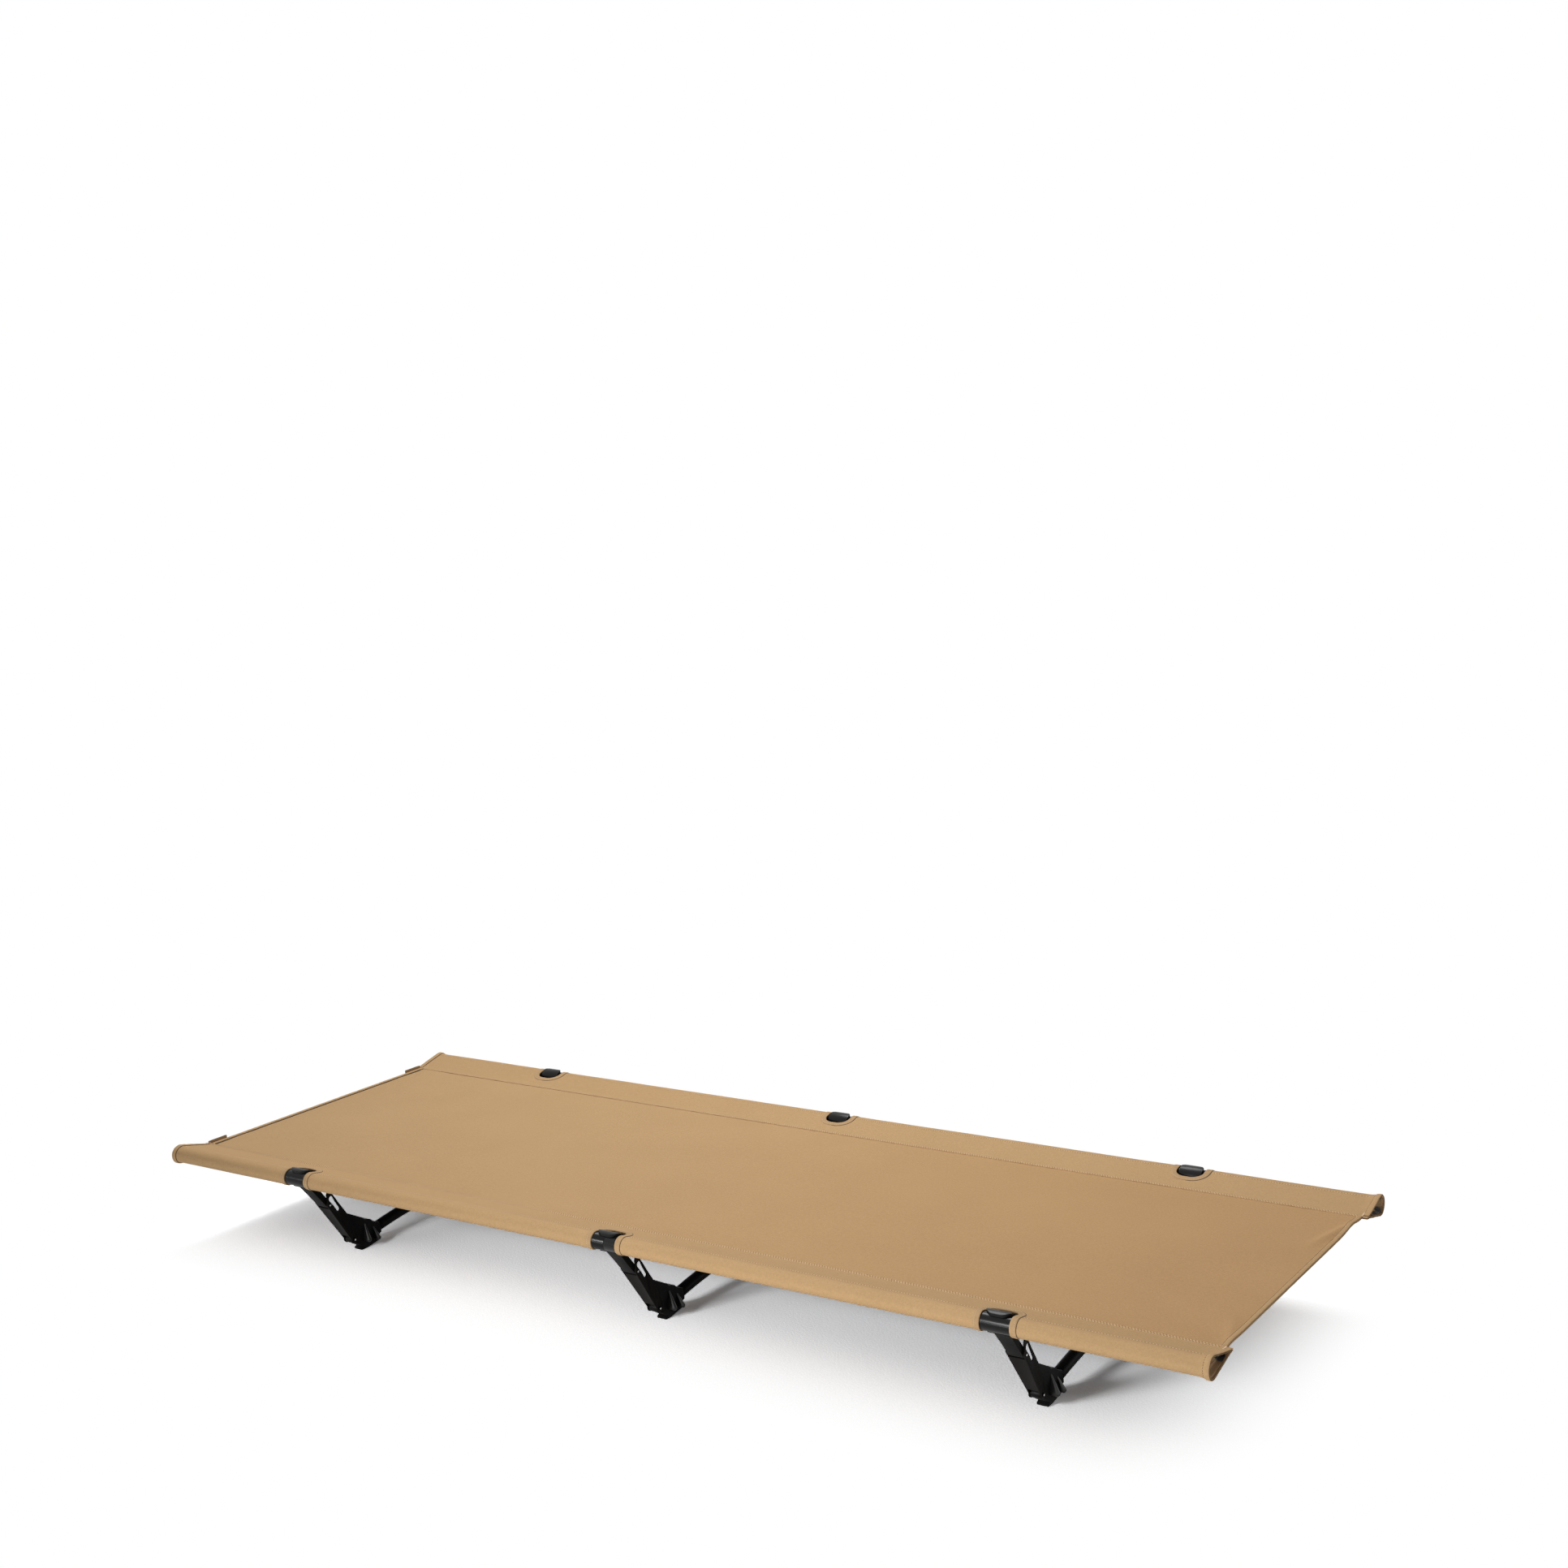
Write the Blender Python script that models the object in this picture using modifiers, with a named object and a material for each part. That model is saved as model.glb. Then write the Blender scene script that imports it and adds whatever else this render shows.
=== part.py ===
"""Low camping cot: a sling on two side rails, held up by three bow legs with tension levers.

X runs along the bed, Y across it, Z up, in metres. The origin is on the floor under the bed's
middle. The near side is at -Y and the far side at +Y. Side outlines are drawn as (out, z), where
out is the distance from the bed's centre line, so both sides share one drawing.
"""

import math

import bmesh
import bpy
from mathutils import Matrix, Vector

# Bed and rails
LENGTH = 1.90
RAIL_SPREAD = 0.656
RAIL_HEIGHT = 0.1624
RAIL_D = 0.025
RAIL_WALL = 0.0012
RAIL_INSET = 0.018
RAIL_SECTIONS = 4
RAIL_PLUG = 0.004
RAIL_CHAMFER = 0.0005
FERRULE_LENGTH = 0.070
FERRULE_WALL = 0.0012
GAP = 0.0003

# Fabric
CLOTH = 0.0008
PANEL = 0.0012
SEAM_INSET = 0.0615
HEM_WIDTH = 0.0095
HEM_THICKNESS = 0.0024
HEM_INSET = 0.008
HEM_SHORT = 0.003
CAP_INSET = 0.010
NOTCH_WIDTH = 0.046
NOTCH_DEPTH = 0.029
NOTCH_CORNER = 0.018
TAB_LENGTH = 0.040
TAB_HEIGHT = 0.011
TAB_TAPE = 0.0011
TAB_FOLD = 0.0046
TAB_SEWN = 0.006

# Bow legs
LEG_OVERHANG = 0.298
BOW_D = 0.0186
BOW_WALL = 0.0013
BOW_CROWN = 0.041
BOW_RADIUS = 0.89
BOW_REACH = 0.161
BOW_FERRULE = 0.060
BOW_JOINT = 0.0008
SPIGOT_LENGTH = 0.018
SPIGOT_GAP = 0.0005

# Foot hub. Outlines are (out, z) steps: the toe's from the sole's outer end, the crest's from
# the top of the bow socket and the heel's from its bottom.
PIVOT_OUT = 0.2243
PIVOT_HEIGHT = 0.0244
KNUCKLE_R = 0.0066
PIN_R = 0.0025
PIN_HEAD_R = 0.0029
PIN_HEAD = 0.0009
FOOT_OUT = 0.2085
FOOT_DEPTH = 0.0125
TOE = ((0.0, 0.0), (0.001, 0.003), (-0.0035, 0.0055))
CREST = ((0.0070, 0.0031), (0.0160, 0.0076), (0.0210, 0.0121), (0.0280, 0.0146),
         (0.0350, 0.0166), (0.0390, 0.0206))
HEEL = ((0.0035, -0.0012), (0.0080, -0.0046), (0.0074, -0.0126))
RIB_FOOT_R = 0.0036
RIB_FOOT_OUT = 0.0023
RIB_HEAD_R = 0.0012
RIB_HEAD_OUT = 0.0007
RIB_FOOT = (-0.0155, 0.0115)
RIB_HEAD = (-0.0105, 0.0445)
HUB_EDGE = 0.0008
CORE_TOP = 0.0460
FIT = 0.0006

# Tension lever, in its own (u, v): u from the lower pin to the upper one, v inwards. The inner
# edge is measured from the lower pin, and the ears, web top and keyhole from the upper one.
LEVER_LENGTH = 0.0954
OVER_CENTRE = 0.0040
LEVER_BOSS = 0.0075
LEVER_FOOT_WIDTH = 0.0190
LEVER_TOP_WIDTH = 0.0280
LEVER_WALL = 0.0018
LEVER_BACK = 0.0050
LEVER_WEB = 0.0022
WEB_FOOT = 0.0150
WEB_SHORT = 0.0050
SEAT_EDGE = ((0.0200, 0.0130), (0.0510, 0.0165))
EAR_EDGE = ((-0.0144, 0.0155), (0.0116, 0.0150), (0.0196, 0.0135), (0.0226, 0.0090),
            (0.0206, 0.0050), (0.0106, 0.0005), (0.0071, -0.0030), (0.0046, -LEVER_BACK))
KEYHOLE_V = 0.0080
KEYHOLE_DOWN = 0.0209
KEYHOLE_NARROW = 0.0032
KEYHOLE_UP = 0.0076
KEYHOLE_WIDE = 0.0046

# Rail hook: angles in degrees round the rail, from straight out and up over the top
CLIP_WIDTH = 0.0370
CLIP_WALL = 0.0040
CLIP_TIP = 61.0
CLIP_LIP = 265.0
CLIP_EASE = 6.0
TIP_BULGE = 0.0102
STEM_TOP_WIDTH = 0.0260
STEM_TAPER = 0.0460
STEM_HALF = 0.0048
STEM_SIDE_GAP = 0.0005
EYE_R = 0.0050
SEAT_GAP = 0.0005
SEAT_FLARE = 0.0005
EYE_REACH = 0.0030

RAIL_OUT = RAIL_SPREAD / 2
RAIL_R = RAIL_D / 2
SEAM_OUT = RAIL_OUT - SEAM_INSET
LEG_SPACING = LENGTH / 2 - LEG_OVERHANG
PLACES = (("left", -LEG_SPACING), ("middle", 0.0), ("right", LEG_SPACING))
SIDES = (("near", -1), ("far", 1))
OVERRUN = 0.01
ROUND = 12


def unit(vector):
    return Vector(vector).normalized()


PIVOT = Vector((PIVOT_OUT, PIVOT_HEIGHT))
RAIL = Vector((RAIL_OUT, RAIL_HEIGHT))
REACH = unit(RAIL - PIVOT)
INWARD = Vector((-REACH.y, REACH.x))
UPPER = PIVOT + REACH * math.sqrt(LEVER_LENGTH ** 2 - OVER_CENTRE ** 2) + INWARD * OVER_CENTRE
LEVER_U = unit(UPPER - PIVOT)
LEVER_V = Vector((-LEVER_U.y, LEVER_U.x))
STEM_S = unit(UPPER - RAIL)
STEM_T = Vector((STEM_S.y, -STEM_S.x))
STEM_LENGTH = (UPPER - RAIL).length


def on_lever(u, v):
    """A point of the lever's side view, as (out, z)."""
    return PIVOT + LEVER_U * u + LEVER_V * v


def on_stem(s, t):
    """A point of the hook's side view, s from the rail's axis to the upper pin."""
    return RAIL + STEM_S * s + STEM_T * t


def arc(centre, radius, start, stop, steps):
    """Points round a centre, from one angle in degrees to another."""
    turns = [math.radians(start + (stop - start) * i / steps) for i in range(steps + 1)]
    return [Vector((centre[0] + radius * math.cos(a), centre[1] + radius * math.sin(a)))
            for a in turns]


def bow_point(out):
    """The bow's centre line, a shallow circular arch."""
    return BOW_CROWN - BOW_RADIUS + math.sqrt(BOW_RADIUS ** 2 - out ** 2)


def clear_scene():
    for item in list(bpy.data.objects):
        bpy.data.objects.remove(item, do_unlink=True)


def new_collection(name, shown):
    made = bpy.data.collections.new(name)
    made.hide_render = not shown
    bpy.context.scene.collection.children.link(made)
    return made


def finish(name, colour, roughness, metallic=0.0):
    made = bpy.data.materials.new(name)
    made.use_nodes = True
    shader = made.node_tree.nodes["Principled BSDF"]
    shader.inputs["Base Color"].default_value = (*colour, 1.0)
    shader.inputs["Roughness"].default_value = roughness
    shader.inputs["Metallic"].default_value = metallic
    made.diffuse_color = (*colour, 1.0)
    return made


clear_scene()
COT = new_collection("camping_cot", True)
CUTTERS = new_collection("cutters", False)
TAN = (0.50, 0.33, 0.18)
BLACK = (0.012, 0.011, 0.011)


def add(name, data, collection=COT):
    made = bpy.data.objects.new(name, data)
    collection.objects.link(made)
    return made


def cutter(name, data):
    made = add(name, data, CUTTERS)
    made.hide_render = True
    made.display_type = "WIRE"
    return made


def mesh_of(item):
    """The evaluated mesh of a working object, welded, in world space. The object is removed."""
    bpy.context.view_layer.update()
    graph = bpy.context.evaluated_depsgraph_get()
    data = bpy.data.meshes.new_from_object(item.evaluated_get(graph))
    data.transform(item.matrix_world)
    bm = bmesh.new()
    bm.from_mesh(data)
    bmesh.ops.remove_doubles(bm, verts=bm.verts, dist=1e-6)
    bmesh.ops.recalc_face_normals(bm, faces=bm.faces)
    bm.to_mesh(data)
    bm.free()
    bpy.data.objects.remove(item, do_unlink=True)
    return data


def outline_curve(points, half, edge=0.0):
    """A flat outline on the side plane, filled and thickened along X, as a curve object."""
    curve = bpy.data.curves.new("outline", "CURVE")
    curve.dimensions = "2D"
    curve.fill_mode = "BOTH"
    curve.extrude = half - edge
    curve.bevel_depth = edge
    curve.bevel_resolution = 0
    curve.offset = -edge
    spline = curve.splines.new("POLY")
    spline.points.add(len(points) - 1)
    for slot, point in zip(spline.points, points):
        slot.co = (point[0], point[1], 0.0, 1.0)
    spline.use_cyclic_u = True
    made = add("outline", curve)
    made.matrix_world = Matrix(((0, 0, 1, 0), (1, 0, 0, 0), (0, 1, 0, 0), (0, 0, 0, 1)))
    return made


def plate(points, half, edge=0.0):
    """A mesh of a side outline, half to each side of the leg's middle plane."""
    return mesh_of(outline_curve(points, half, edge))


def rod(start, stop, radius, steps=ROUND, end_radius=None):
    """A mesh of a round bar between two points, or of a cone where its far end differs."""
    start = Vector(start)
    stop = Vector(stop)
    bm = bmesh.new()
    bmesh.ops.create_cone(bm, cap_ends=True, segments=steps, radius1=radius,
                          radius2=radius if end_radius is None else end_radius,
                          depth=(stop - start).length)
    turn = (stop - start).to_track_quat("Z", "Y").to_matrix().to_4x4()
    bmesh.ops.transform(bm, matrix=Matrix.Translation((start + stop) / 2) @ turn, verts=bm.verts)
    data = bpy.data.meshes.new("rod")
    bm.to_mesh(data)
    bm.free()
    return data


def combine(first, steps):
    """Joins meshes to the first one, or cuts them from it, one after another."""
    work = add("work", first)
    helpers = []
    for operation, other in steps:
        helper = cutter("helper", other)
        helpers.append(helper)
        change = work.modifiers.new(operation.lower(), "BOOLEAN")
        change.operation = operation
        change.object = helper
        change.solver = "EXACT"
    made = mesh_of(work)
    for helper in helpers:
        bpy.data.objects.remove(helper, do_unlink=True)
    return made


def widened(data, width_at):
    """Scales each point's X by the width that belongs to its place in the side view."""
    for vertex in data.vertices:
        vertex.co.x *= width_at(Vector((vertex.co.y, vertex.co.z)))
    return data


def mirrored(data):
    made = data.copy()
    made.transform(Matrix.Scale(-1, 4, (0, 1, 0)))
    made.flip_normals()
    return made


def smooth(data, angle=35.0):
    data.shade_smooth()
    data.set_sharp_from_angle(angle=math.radians(angle))
    return data


def place_legs(stem, data, axis, material):
    """Six copies of a leg piece, with each origin on the piece's axis in the side view."""
    smooth(data)
    data.materials.append(material)
    data.transform(Matrix.Translation((0, -axis[0], -axis[1])))
    versions = {1: data, -1: mirrored(data)}
    for side, sign in SIDES:
        for place, x in PLACES:
            made = add(f"{stem}_{side}_{place}", versions[sign])
            made.location = (x, sign * axis[0], axis[1])


def turned(name, profile, along, material, steps=20):
    """A tube or bar turned about X: the profile is (radius, distance) and the origin is given."""
    data = bpy.data.meshes.new(name)
    bm = bmesh.new()
    points = [bm.verts.new((r, 0.0, d)) for r, d in profile]
    closed = profile[0][0] > 0.0
    for i in range(len(points) if closed else len(points) - 1):
        bm.edges.new((points[i], points[(i + 1) % len(points)]))
    bm.to_mesh(data)
    bm.free()
    data.materials.append(material)
    made = add(name, data)
    screw = made.modifiers.new("turn", "SCREW")
    screw.steps = steps
    screw.render_steps = steps
    screw.use_merge_vertices = True
    screw.merge_threshold = 1e-5
    screw.use_smooth_shade = True
    made.location = along[0]
    made.rotation_euler = (0.0, math.copysign(math.pi / 2, along[1]), 0.0)
    return made


def rails():
    """Two rails of four tubes each. The end tubes are closed by their pressed-in plugs."""
    material = finish("rail_black", BLACK, 0.35, 0.6)
    spigot = finish("ferrule_grey", (0.35, 0.35, 0.36), 0.3, 1.0)
    run = LENGTH - 2 * RAIL_INSET
    step = run / RAIL_SECTIONS
    bore = RAIL_R - RAIL_WALL
    chamfer = RAIL_CHAMFER
    for side, sign in SIDES:
        at = (sign * RAIL_OUT, RAIL_HEIGHT)
        for i in range(RAIL_SECTIONS):
            start = -run / 2 + i * step
            last = i == RAIL_SECTIONS - 1
            length = step - GAP
            if i == 0 or last:
                inner = length - RAIL_PLUG
                profile = [(0.0, length), (RAIL_R - chamfer, length), (RAIL_R, length - chamfer),
                           (RAIL_R, chamfer), (RAIL_R - chamfer, 0.0), (bore, 0.0),
                           (bore, inner), (0.0, inner)]
            else:
                profile = [(bore, length), (RAIL_R - chamfer, length), (RAIL_R, length - chamfer),
                           (RAIL_R, chamfer), (RAIL_R - chamfer, 0.0), (bore, 0.0)]
            base = start + step - GAP / 2 if i == 0 else start + GAP / 2
            turned(f"rail_{side}_{i + 1}", profile, ((base, *at), -1 if i == 0 else 1), material)
        outer = bore - GAP
        half = FERRULE_LENGTH / 2
        for i in range(1, RAIL_SECTIONS):
            profile = [(outer - FERRULE_WALL, half), (outer, half),
                       (outer, -half), (outer - FERRULE_WALL, -half)]
            x = -run / 2 + i * step
            turned(f"rail_ferrule_{side}_{i}", profile, ((x, *at), 1), spigot, ROUND)


def teardrop(radius):
    """The sleeve's section: round the rail, then two straight layers to the seam."""
    tilt = math.degrees(math.asin((RAIL_R + GAP + CLOTH) / (RAIL_OUT - SEAM_OUT)))
    points = arc(RAIL, radius, -90.0 - tilt, 90.0 + tilt, 12)
    apex = RAIL_OUT - radius / math.sin(math.radians(tilt))
    return points + [Vector((apex, RAIL_HEIGHT))]


def notch_outline(x):
    """The cut-out of the sleeve at a leg, in plan: open outwards, round-cornered inwards."""
    half = NOTCH_WIDTH / 2
    corner = NOTCH_CORNER
    deep = RAIL_OUT - NOTCH_DEPTH + corner
    past = RAIL_OUT + RAIL_D
    left = arc((x - half + corner, deep), corner, 180, 270, 5)
    right = arc((x + half - corner, deep), corner, 270, 360, 5)
    return [Vector((x - half, past))] + left + right + [Vector((x + half, past))]


def sleeves():
    """Each long edge of the sling: a doubled strip of cloth sewn round its rail."""
    cloth = finish("cot_cloth", TAN, 0.85)
    outer = plate(teardrop(RAIL_R + GAP + CLOTH), LENGTH / 2)
    steps = [("DIFFERENCE", plate(teardrop(RAIL_R + GAP), LENGTH / 2 + OVERRUN))]
    for place, x in PLACES:
        curve = outline_curve(notch_outline(x), RAIL_D)
        curve.matrix_world = Matrix.Translation((0, 0, RAIL_HEIGHT))
        steps.append(("DIFFERENCE", mesh_of(curve)))
    data = smooth(combine(outer, steps))
    data.materials.append(cloth)
    for side, sign in SIDES:
        add(f"sleeve_{side}", data if sign > 0 else mirrored(data))
    lining = finish("lining_grey", (0.09, 0.09, 0.095), 0.8)
    cap = plate(teardrop(RAIL_R), CLOTH / 2)
    cap.materials.append(lining)
    for side, sign in SIDES:
        for end, turn in (("left", -1), ("right", 1)):
            made = add(f"sleeve_cap_{side}_{end}", cap if sign > 0 else mirrored(cap))
            made.location.x = turn * (LENGTH / 2 - CAP_INSET)
    return cloth


def block(name, low, high, material):
    """A flat strip or sheet between two corners."""
    bm = bmesh.new()
    bmesh.ops.create_cube(bm, size=1.0)
    low = Vector(low)
    high = Vector(high)
    size = high - low
    for vertex in bm.verts:
        vertex.co = Vector([c * s for c, s in zip(vertex.co, size)])
    data = bpy.data.meshes.new(name)
    bm.to_mesh(data)
    bm.free()
    data.materials.append(material)
    made = add(name, data)
    made.location = (low + high) / 2
    return made


def panel(cloth):
    """The bed: one taut sheet from seam to seam, with a folded hem across each end."""
    half = SEAM_OUT - GAP
    hem_end = LENGTH / 2 - HEM_INSET
    hem_start = hem_end - HEM_WIDTH
    sheet_end = hem_start - GAP
    low = RAIL_HEIGHT - PANEL / 2
    block("bed_panel", (-sheet_end, -half, low), (sheet_end, half, low + PANEL), cloth)
    reach = half - HEM_SHORT
    hem_low = RAIL_HEIGHT - HEM_THICKNESS / 2
    for end, turn in (("left", -1), ("right", 1)):
        edges = sorted((turn * hem_start, turn * hem_end))
        block(f"end_hem_{end}", (edges[0], -reach, hem_low),
              (edges[1], reach, hem_low + HEM_THICKNESS), cloth)


def pull_tabs():
    """A folded loop of tape at each corner of the left end, sewn just outside the hem."""
    tape = finish("tab_tape", (0.36, 0.24, 0.13), 0.85)
    mouth = LENGTH / 2 - HEM_INSET + GAP
    fold = TAB_FOLD / 2
    loop = TAB_FOLD / 2 - TAB_TAPE
    root = TAB_LENGTH - fold
    for side, sign in SIDES:
        seam = SEAM_OUT - GAP
        place = Matrix.Translation((-mouth - fold, sign * (seam - root), RAIL_HEIGHT))
        place = place @ Matrix.Rotation(-sign * math.pi / 2, 4, "Z")
        layers = []
        for radius, end, half in ((fold, root, TAB_HEIGHT / 2), (loop, root - TAB_SEWN, OVERRUN)):
            points = arc((0.0, 0.0), radius, -90, 90, 6)
            points += [Vector((-end, radius)), Vector((-end, -radius))]
            curve = outline_curve(points, half)
            curve.matrix_world = place
            layers.append(mesh_of(curve))
        data = combine(layers[0], [("DIFFERENCE", layers[1])])
        data.materials.append(tape)
        add(f"pull_tab_{side}", data)


def arch(name, start, stop, radius, wall, points, x, material):
    """A stretch of bow tube from one distance across the bed to another."""
    curve = bpy.data.curves.new(name, "CURVE")
    curve.dimensions = "3D"
    curve.bevel_depth = radius
    curve.bevel_resolution = 6
    curve.use_fill_caps = False
    spline = curve.splines.new("POLY")
    spline.points.add(points - 1)
    for i, slot in enumerate(spline.points):
        y = start + (stop - start) * i / (points - 1)
        slot.co = (0.0, y, bow_point(y), 1.0)
    curve.materials.append(material)
    made = add(name, curve)
    made.location.x = x
    shell = made.modifiers.new("wall", "SOLIDIFY")
    shell.thickness = wall
    shell.offset = -1.0
    return made


def bows():
    """Three bow poles across the bed, each of two curved tubes on a hidden ferrule."""
    material = finish("bow_black", BLACK, 0.4, 0.5)
    spigot = finish("bow_ferrule_grey", (0.35, 0.35, 0.36), 0.3, 1.0)
    radius = BOW_D / 2
    for place, x in PLACES:
        for side, sign in SIDES:
            arch(f"bow_{side}_{place}", sign * BOW_JOINT / 2, sign * BOW_REACH, radius, BOW_WALL, 6, x,
                 material)
        half = BOW_FERRULE / 2
        arch(f"bow_ferrule_{place}", -half, half, radius - BOW_WALL - GAP, BOW_WALL, 3, x, spigot)


def lever_half(point):
    """The lever's half width at a place in its side view."""
    u = (point - PIVOT).dot(LEVER_U)
    return (LEVER_FOOT_WIDTH + (LEVER_TOP_WIDTH - LEVER_FOOT_WIDTH) * u / LEVER_LENGTH) / 2


def stepped(start, steps):
    """Points at (out, z) steps from one point."""
    return [Vector(start) + Vector(step) for step in steps]


def hubs():
    """The moulded foot at each end of a bow: spigot, fan, ribs, foot and knuckle in one piece."""
    material = finish("hub_black", BLACK, 0.45)
    core_half = LEVER_FOOT_WIDTH / 2 - LEVER_WALL - FIT
    half = BOW_D / 2
    end = Vector((BOW_REACH + GAP, bow_point(BOW_REACH + GAP)))
    normal = unit(end - Vector((0.0, BOW_CROWN - BOW_RADIUS)))
    tangent = Vector((-normal.y, normal.x))
    top = end + normal * half
    bottom = end - normal * half
    sole = Vector((FOOT_OUT, 0.0))
    axis = math.degrees(math.atan2(LEVER_U.y, LEVER_U.x))
    wrap = arc(PIVOT, LEVER_BOSS + FIT, axis + 200, axis + 100, 5)
    seat = [on_lever(u, v + FIT) for u, v in SEAT_EDGE]
    fan = stepped(sole, TOE) + wrap + seat + stepped(top, CREST)[::-1] + [top, bottom]
    fan += stepped(bottom, HEEL) + [sole - Vector((FOOT_DEPTH, 0.0))]
    clear = LEVER_WEB - LEVER_BACK + FIT
    core = [on_lever(0.0, clear), on_lever(CORE_TOP, clear), on_lever(*SEAT_EDGE[1]),
            on_lever(*SEAT_EDGE[0]), on_lever(-KNUCKLE_R, SEAT_EDGE[0][1])]
    knuckle = rod((-core_half, *PIVOT), (core_half, *PIVOT), KNUCKLE_R, 16)
    spigot_r = half - BOW_WALL - SPIGOT_GAP
    root = end - tangent * SPIGOT_LENGTH / 4
    tip = end + tangent * SPIGOT_LENGTH
    steps = [("UNION", plate(core, core_half)), ("UNION", knuckle),
             ("UNION", rod((0, *root), (0, *tip), spigot_r))]
    for turn in (-1, 1):
        foot, head = stepped(sole, (RIB_FOOT, RIB_HEAD))
        low = (turn * (half + RIB_FOOT_OUT - RIB_FOOT_R), *foot)
        high = (turn * (half + RIB_HEAD_OUT - RIB_HEAD_R), *head)
        steps.append(("UNION", rod(low, high, RIB_FOOT_R, 16, RIB_HEAD_R)))
    bore = rod((-BOW_D, *PIVOT), (BOW_D, *PIVOT), PIN_R + GAP)
    steps.append(("DIFFERENCE", bore))
    place_legs("foot_hub", combine(plate(fan, half, HUB_EDGE), steps), PIVOT, material)


def levers():
    """The tension lever: a tapered channel with two ears, cut through by a keyhole, and its pin."""
    material = finish("lever_black", BLACK, 0.42)
    axis = math.degrees(math.atan2(LEVER_U.y, LEVER_U.x))
    boss = arc(PIVOT, LEVER_BOSS, axis - 42, axis - 260, 7)
    inner = [on_lever(u, v) for u, v in SEAT_EDGE]
    ear = [on_lever(LEVER_LENGTH + u, v) for u, v in EAR_EDGE]
    body = widened(plate(boss + inner + ear, 1.0), lever_half)
    past = LEVER_LENGTH / 2
    inside = LEVER_WEB - LEVER_BACK
    web_top = LEVER_LENGTH - WEB_SHORT
    hollow = [(-past, -past), (WEB_FOOT, -past), (WEB_FOOT, inside), (web_top, inside),
              (web_top, -past), (LEVER_LENGTH + past, -past), (LEVER_LENGTH + past, past),
              (-past, past)]
    channel = plate([on_lever(u, v) for u, v in hollow], 1.0)
    channel = widened(channel, lambda point: lever_half(point) - LEVER_WALL)
    low = LEVER_LENGTH - KEYHOLE_DOWN
    high = LEVER_LENGTH + KEYHOLE_UP
    waist = (low + high) / 2
    hole = arc((low, KEYHOLE_V), KEYHOLE_NARROW, 90, 270, 4)
    hole.append(Vector((waist, KEYHOLE_V - KEYHOLE_NARROW)))
    hole += arc((high, KEYHOLE_V), KEYHOLE_WIDE, -100, 100, 6)
    hole.append(Vector((waist, KEYHOLE_V + KEYHOLE_NARROW)))
    keyhole = plate([on_lever(u, v) for u, v in hole], LEVER_TOP_WIDTH)
    bore = rod((-LEVER_TOP_WIDTH, *PIVOT), (LEVER_TOP_WIDTH, *PIVOT), PIN_R + GAP)
    reach = LEVER_TOP_WIDTH / 2 + GAP
    pin = rod((-reach, *UPPER), (reach, *UPPER), PIN_R)
    steps = [("DIFFERENCE", channel), ("DIFFERENCE", keyhole), ("DIFFERENCE", bore),
             ("UNION", pin)]
    place_legs("tension_lever", combine(body, steps), PIVOT, material)


def tip_edge():
    """What rounds off the clip's tip, in plan: all that lies past one broad arc."""
    half = CLIP_WIDTH / 2
    tip = RAIL_OUT + (RAIL_R + GAP + CLIP_WALL) * math.cos(math.radians(CLIP_TIP))
    radius = (half ** 2 + TIP_BULGE ** 2) / (2 * TIP_BULGE)
    sweep = math.degrees(math.asin(half / radius))
    points = arc((0.0, tip - radius), radius, 90 - sweep, 90 + sweep, 14)
    root = tip - TIP_BULGE
    points += [Vector((-half - OVERRUN, root)), Vector((-half - OVERRUN, tip + OVERRUN)),
               Vector((half + OVERRUN, tip + OVERRUN)), Vector((half + OVERRUN, root))]
    curve = outline_curve(points, RAIL_R)
    curve.matrix_world = Matrix.Translation((0, 0, RAIL_HEIGHT + RAIL_D * 3 / 4))
    return mesh_of(curve)


def hooks():
    """The rail hook: a clip round the rail and a tapered stem that bears on the upper pin."""
    material = finish("hook_black", BLACK, 0.25)
    inner = RAIL_R + GAP
    outer = inner + CLIP_WALL
    ring = arc(RAIL, outer, CLIP_TIP + CLIP_EASE, CLIP_LIP - CLIP_EASE, 16)
    ring += arc(RAIL, inner, CLIP_LIP, CLIP_TIP, 16)
    clip = plate(ring, CLIP_WIDTH / 2)
    start = inner + CLIP_WALL / 2
    end = STEM_LENGTH + EYE_REACH
    eased = STEM_LENGTH + EYE_REACH / 2
    eased_half = math.sqrt(EYE_R ** 2 - (EYE_REACH / 2) ** 2)
    end_half = math.sqrt(EYE_R ** 2 - EYE_REACH ** 2)
    side = [(start, STEM_HALF), (STEM_TAPER, STEM_HALF), (STEM_LENGTH, EYE_R),
            (eased, eased_half), (end, end_half)]
    stem = [on_stem(s, -t) for s, t in side] + [on_stem(s, t) for s, t in side[::-1]]
    inside = LEVER_TOP_WIDTH / 2 - LEVER_WALL - STEM_SIDE_GAP

    def stem_half(point):
        s = (point - RAIL).dot(STEM_S)
        share = min(max((s - start) / (STEM_TAPER - start), 0.0), 1.0)
        return STEM_TOP_WIDTH / 2 + (inside - STEM_TOP_WIDTH / 2) * share

    seat_r = PIN_R + SEAT_GAP
    seat = rod((-CLIP_WIDTH, *UPPER), (CLIP_WIDTH, *UPPER), seat_r, 16)
    past = STEM_LENGTH + OVERRUN
    mouth = [on_stem(STEM_LENGTH, -seat_r), on_stem(past, -seat_r - SEAT_FLARE),
             on_stem(past, seat_r + SEAT_FLARE), on_stem(STEM_LENGTH, seat_r)]
    steps = [("UNION", widened(plate(stem, 1.0), stem_half)),
             ("DIFFERENCE", tip_edge()), ("DIFFERENCE", seat),
             ("DIFFERENCE", plate(mouth, CLIP_WIDTH))]
    place_legs("rail_hook", combine(clip, steps), RAIL, material)


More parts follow.
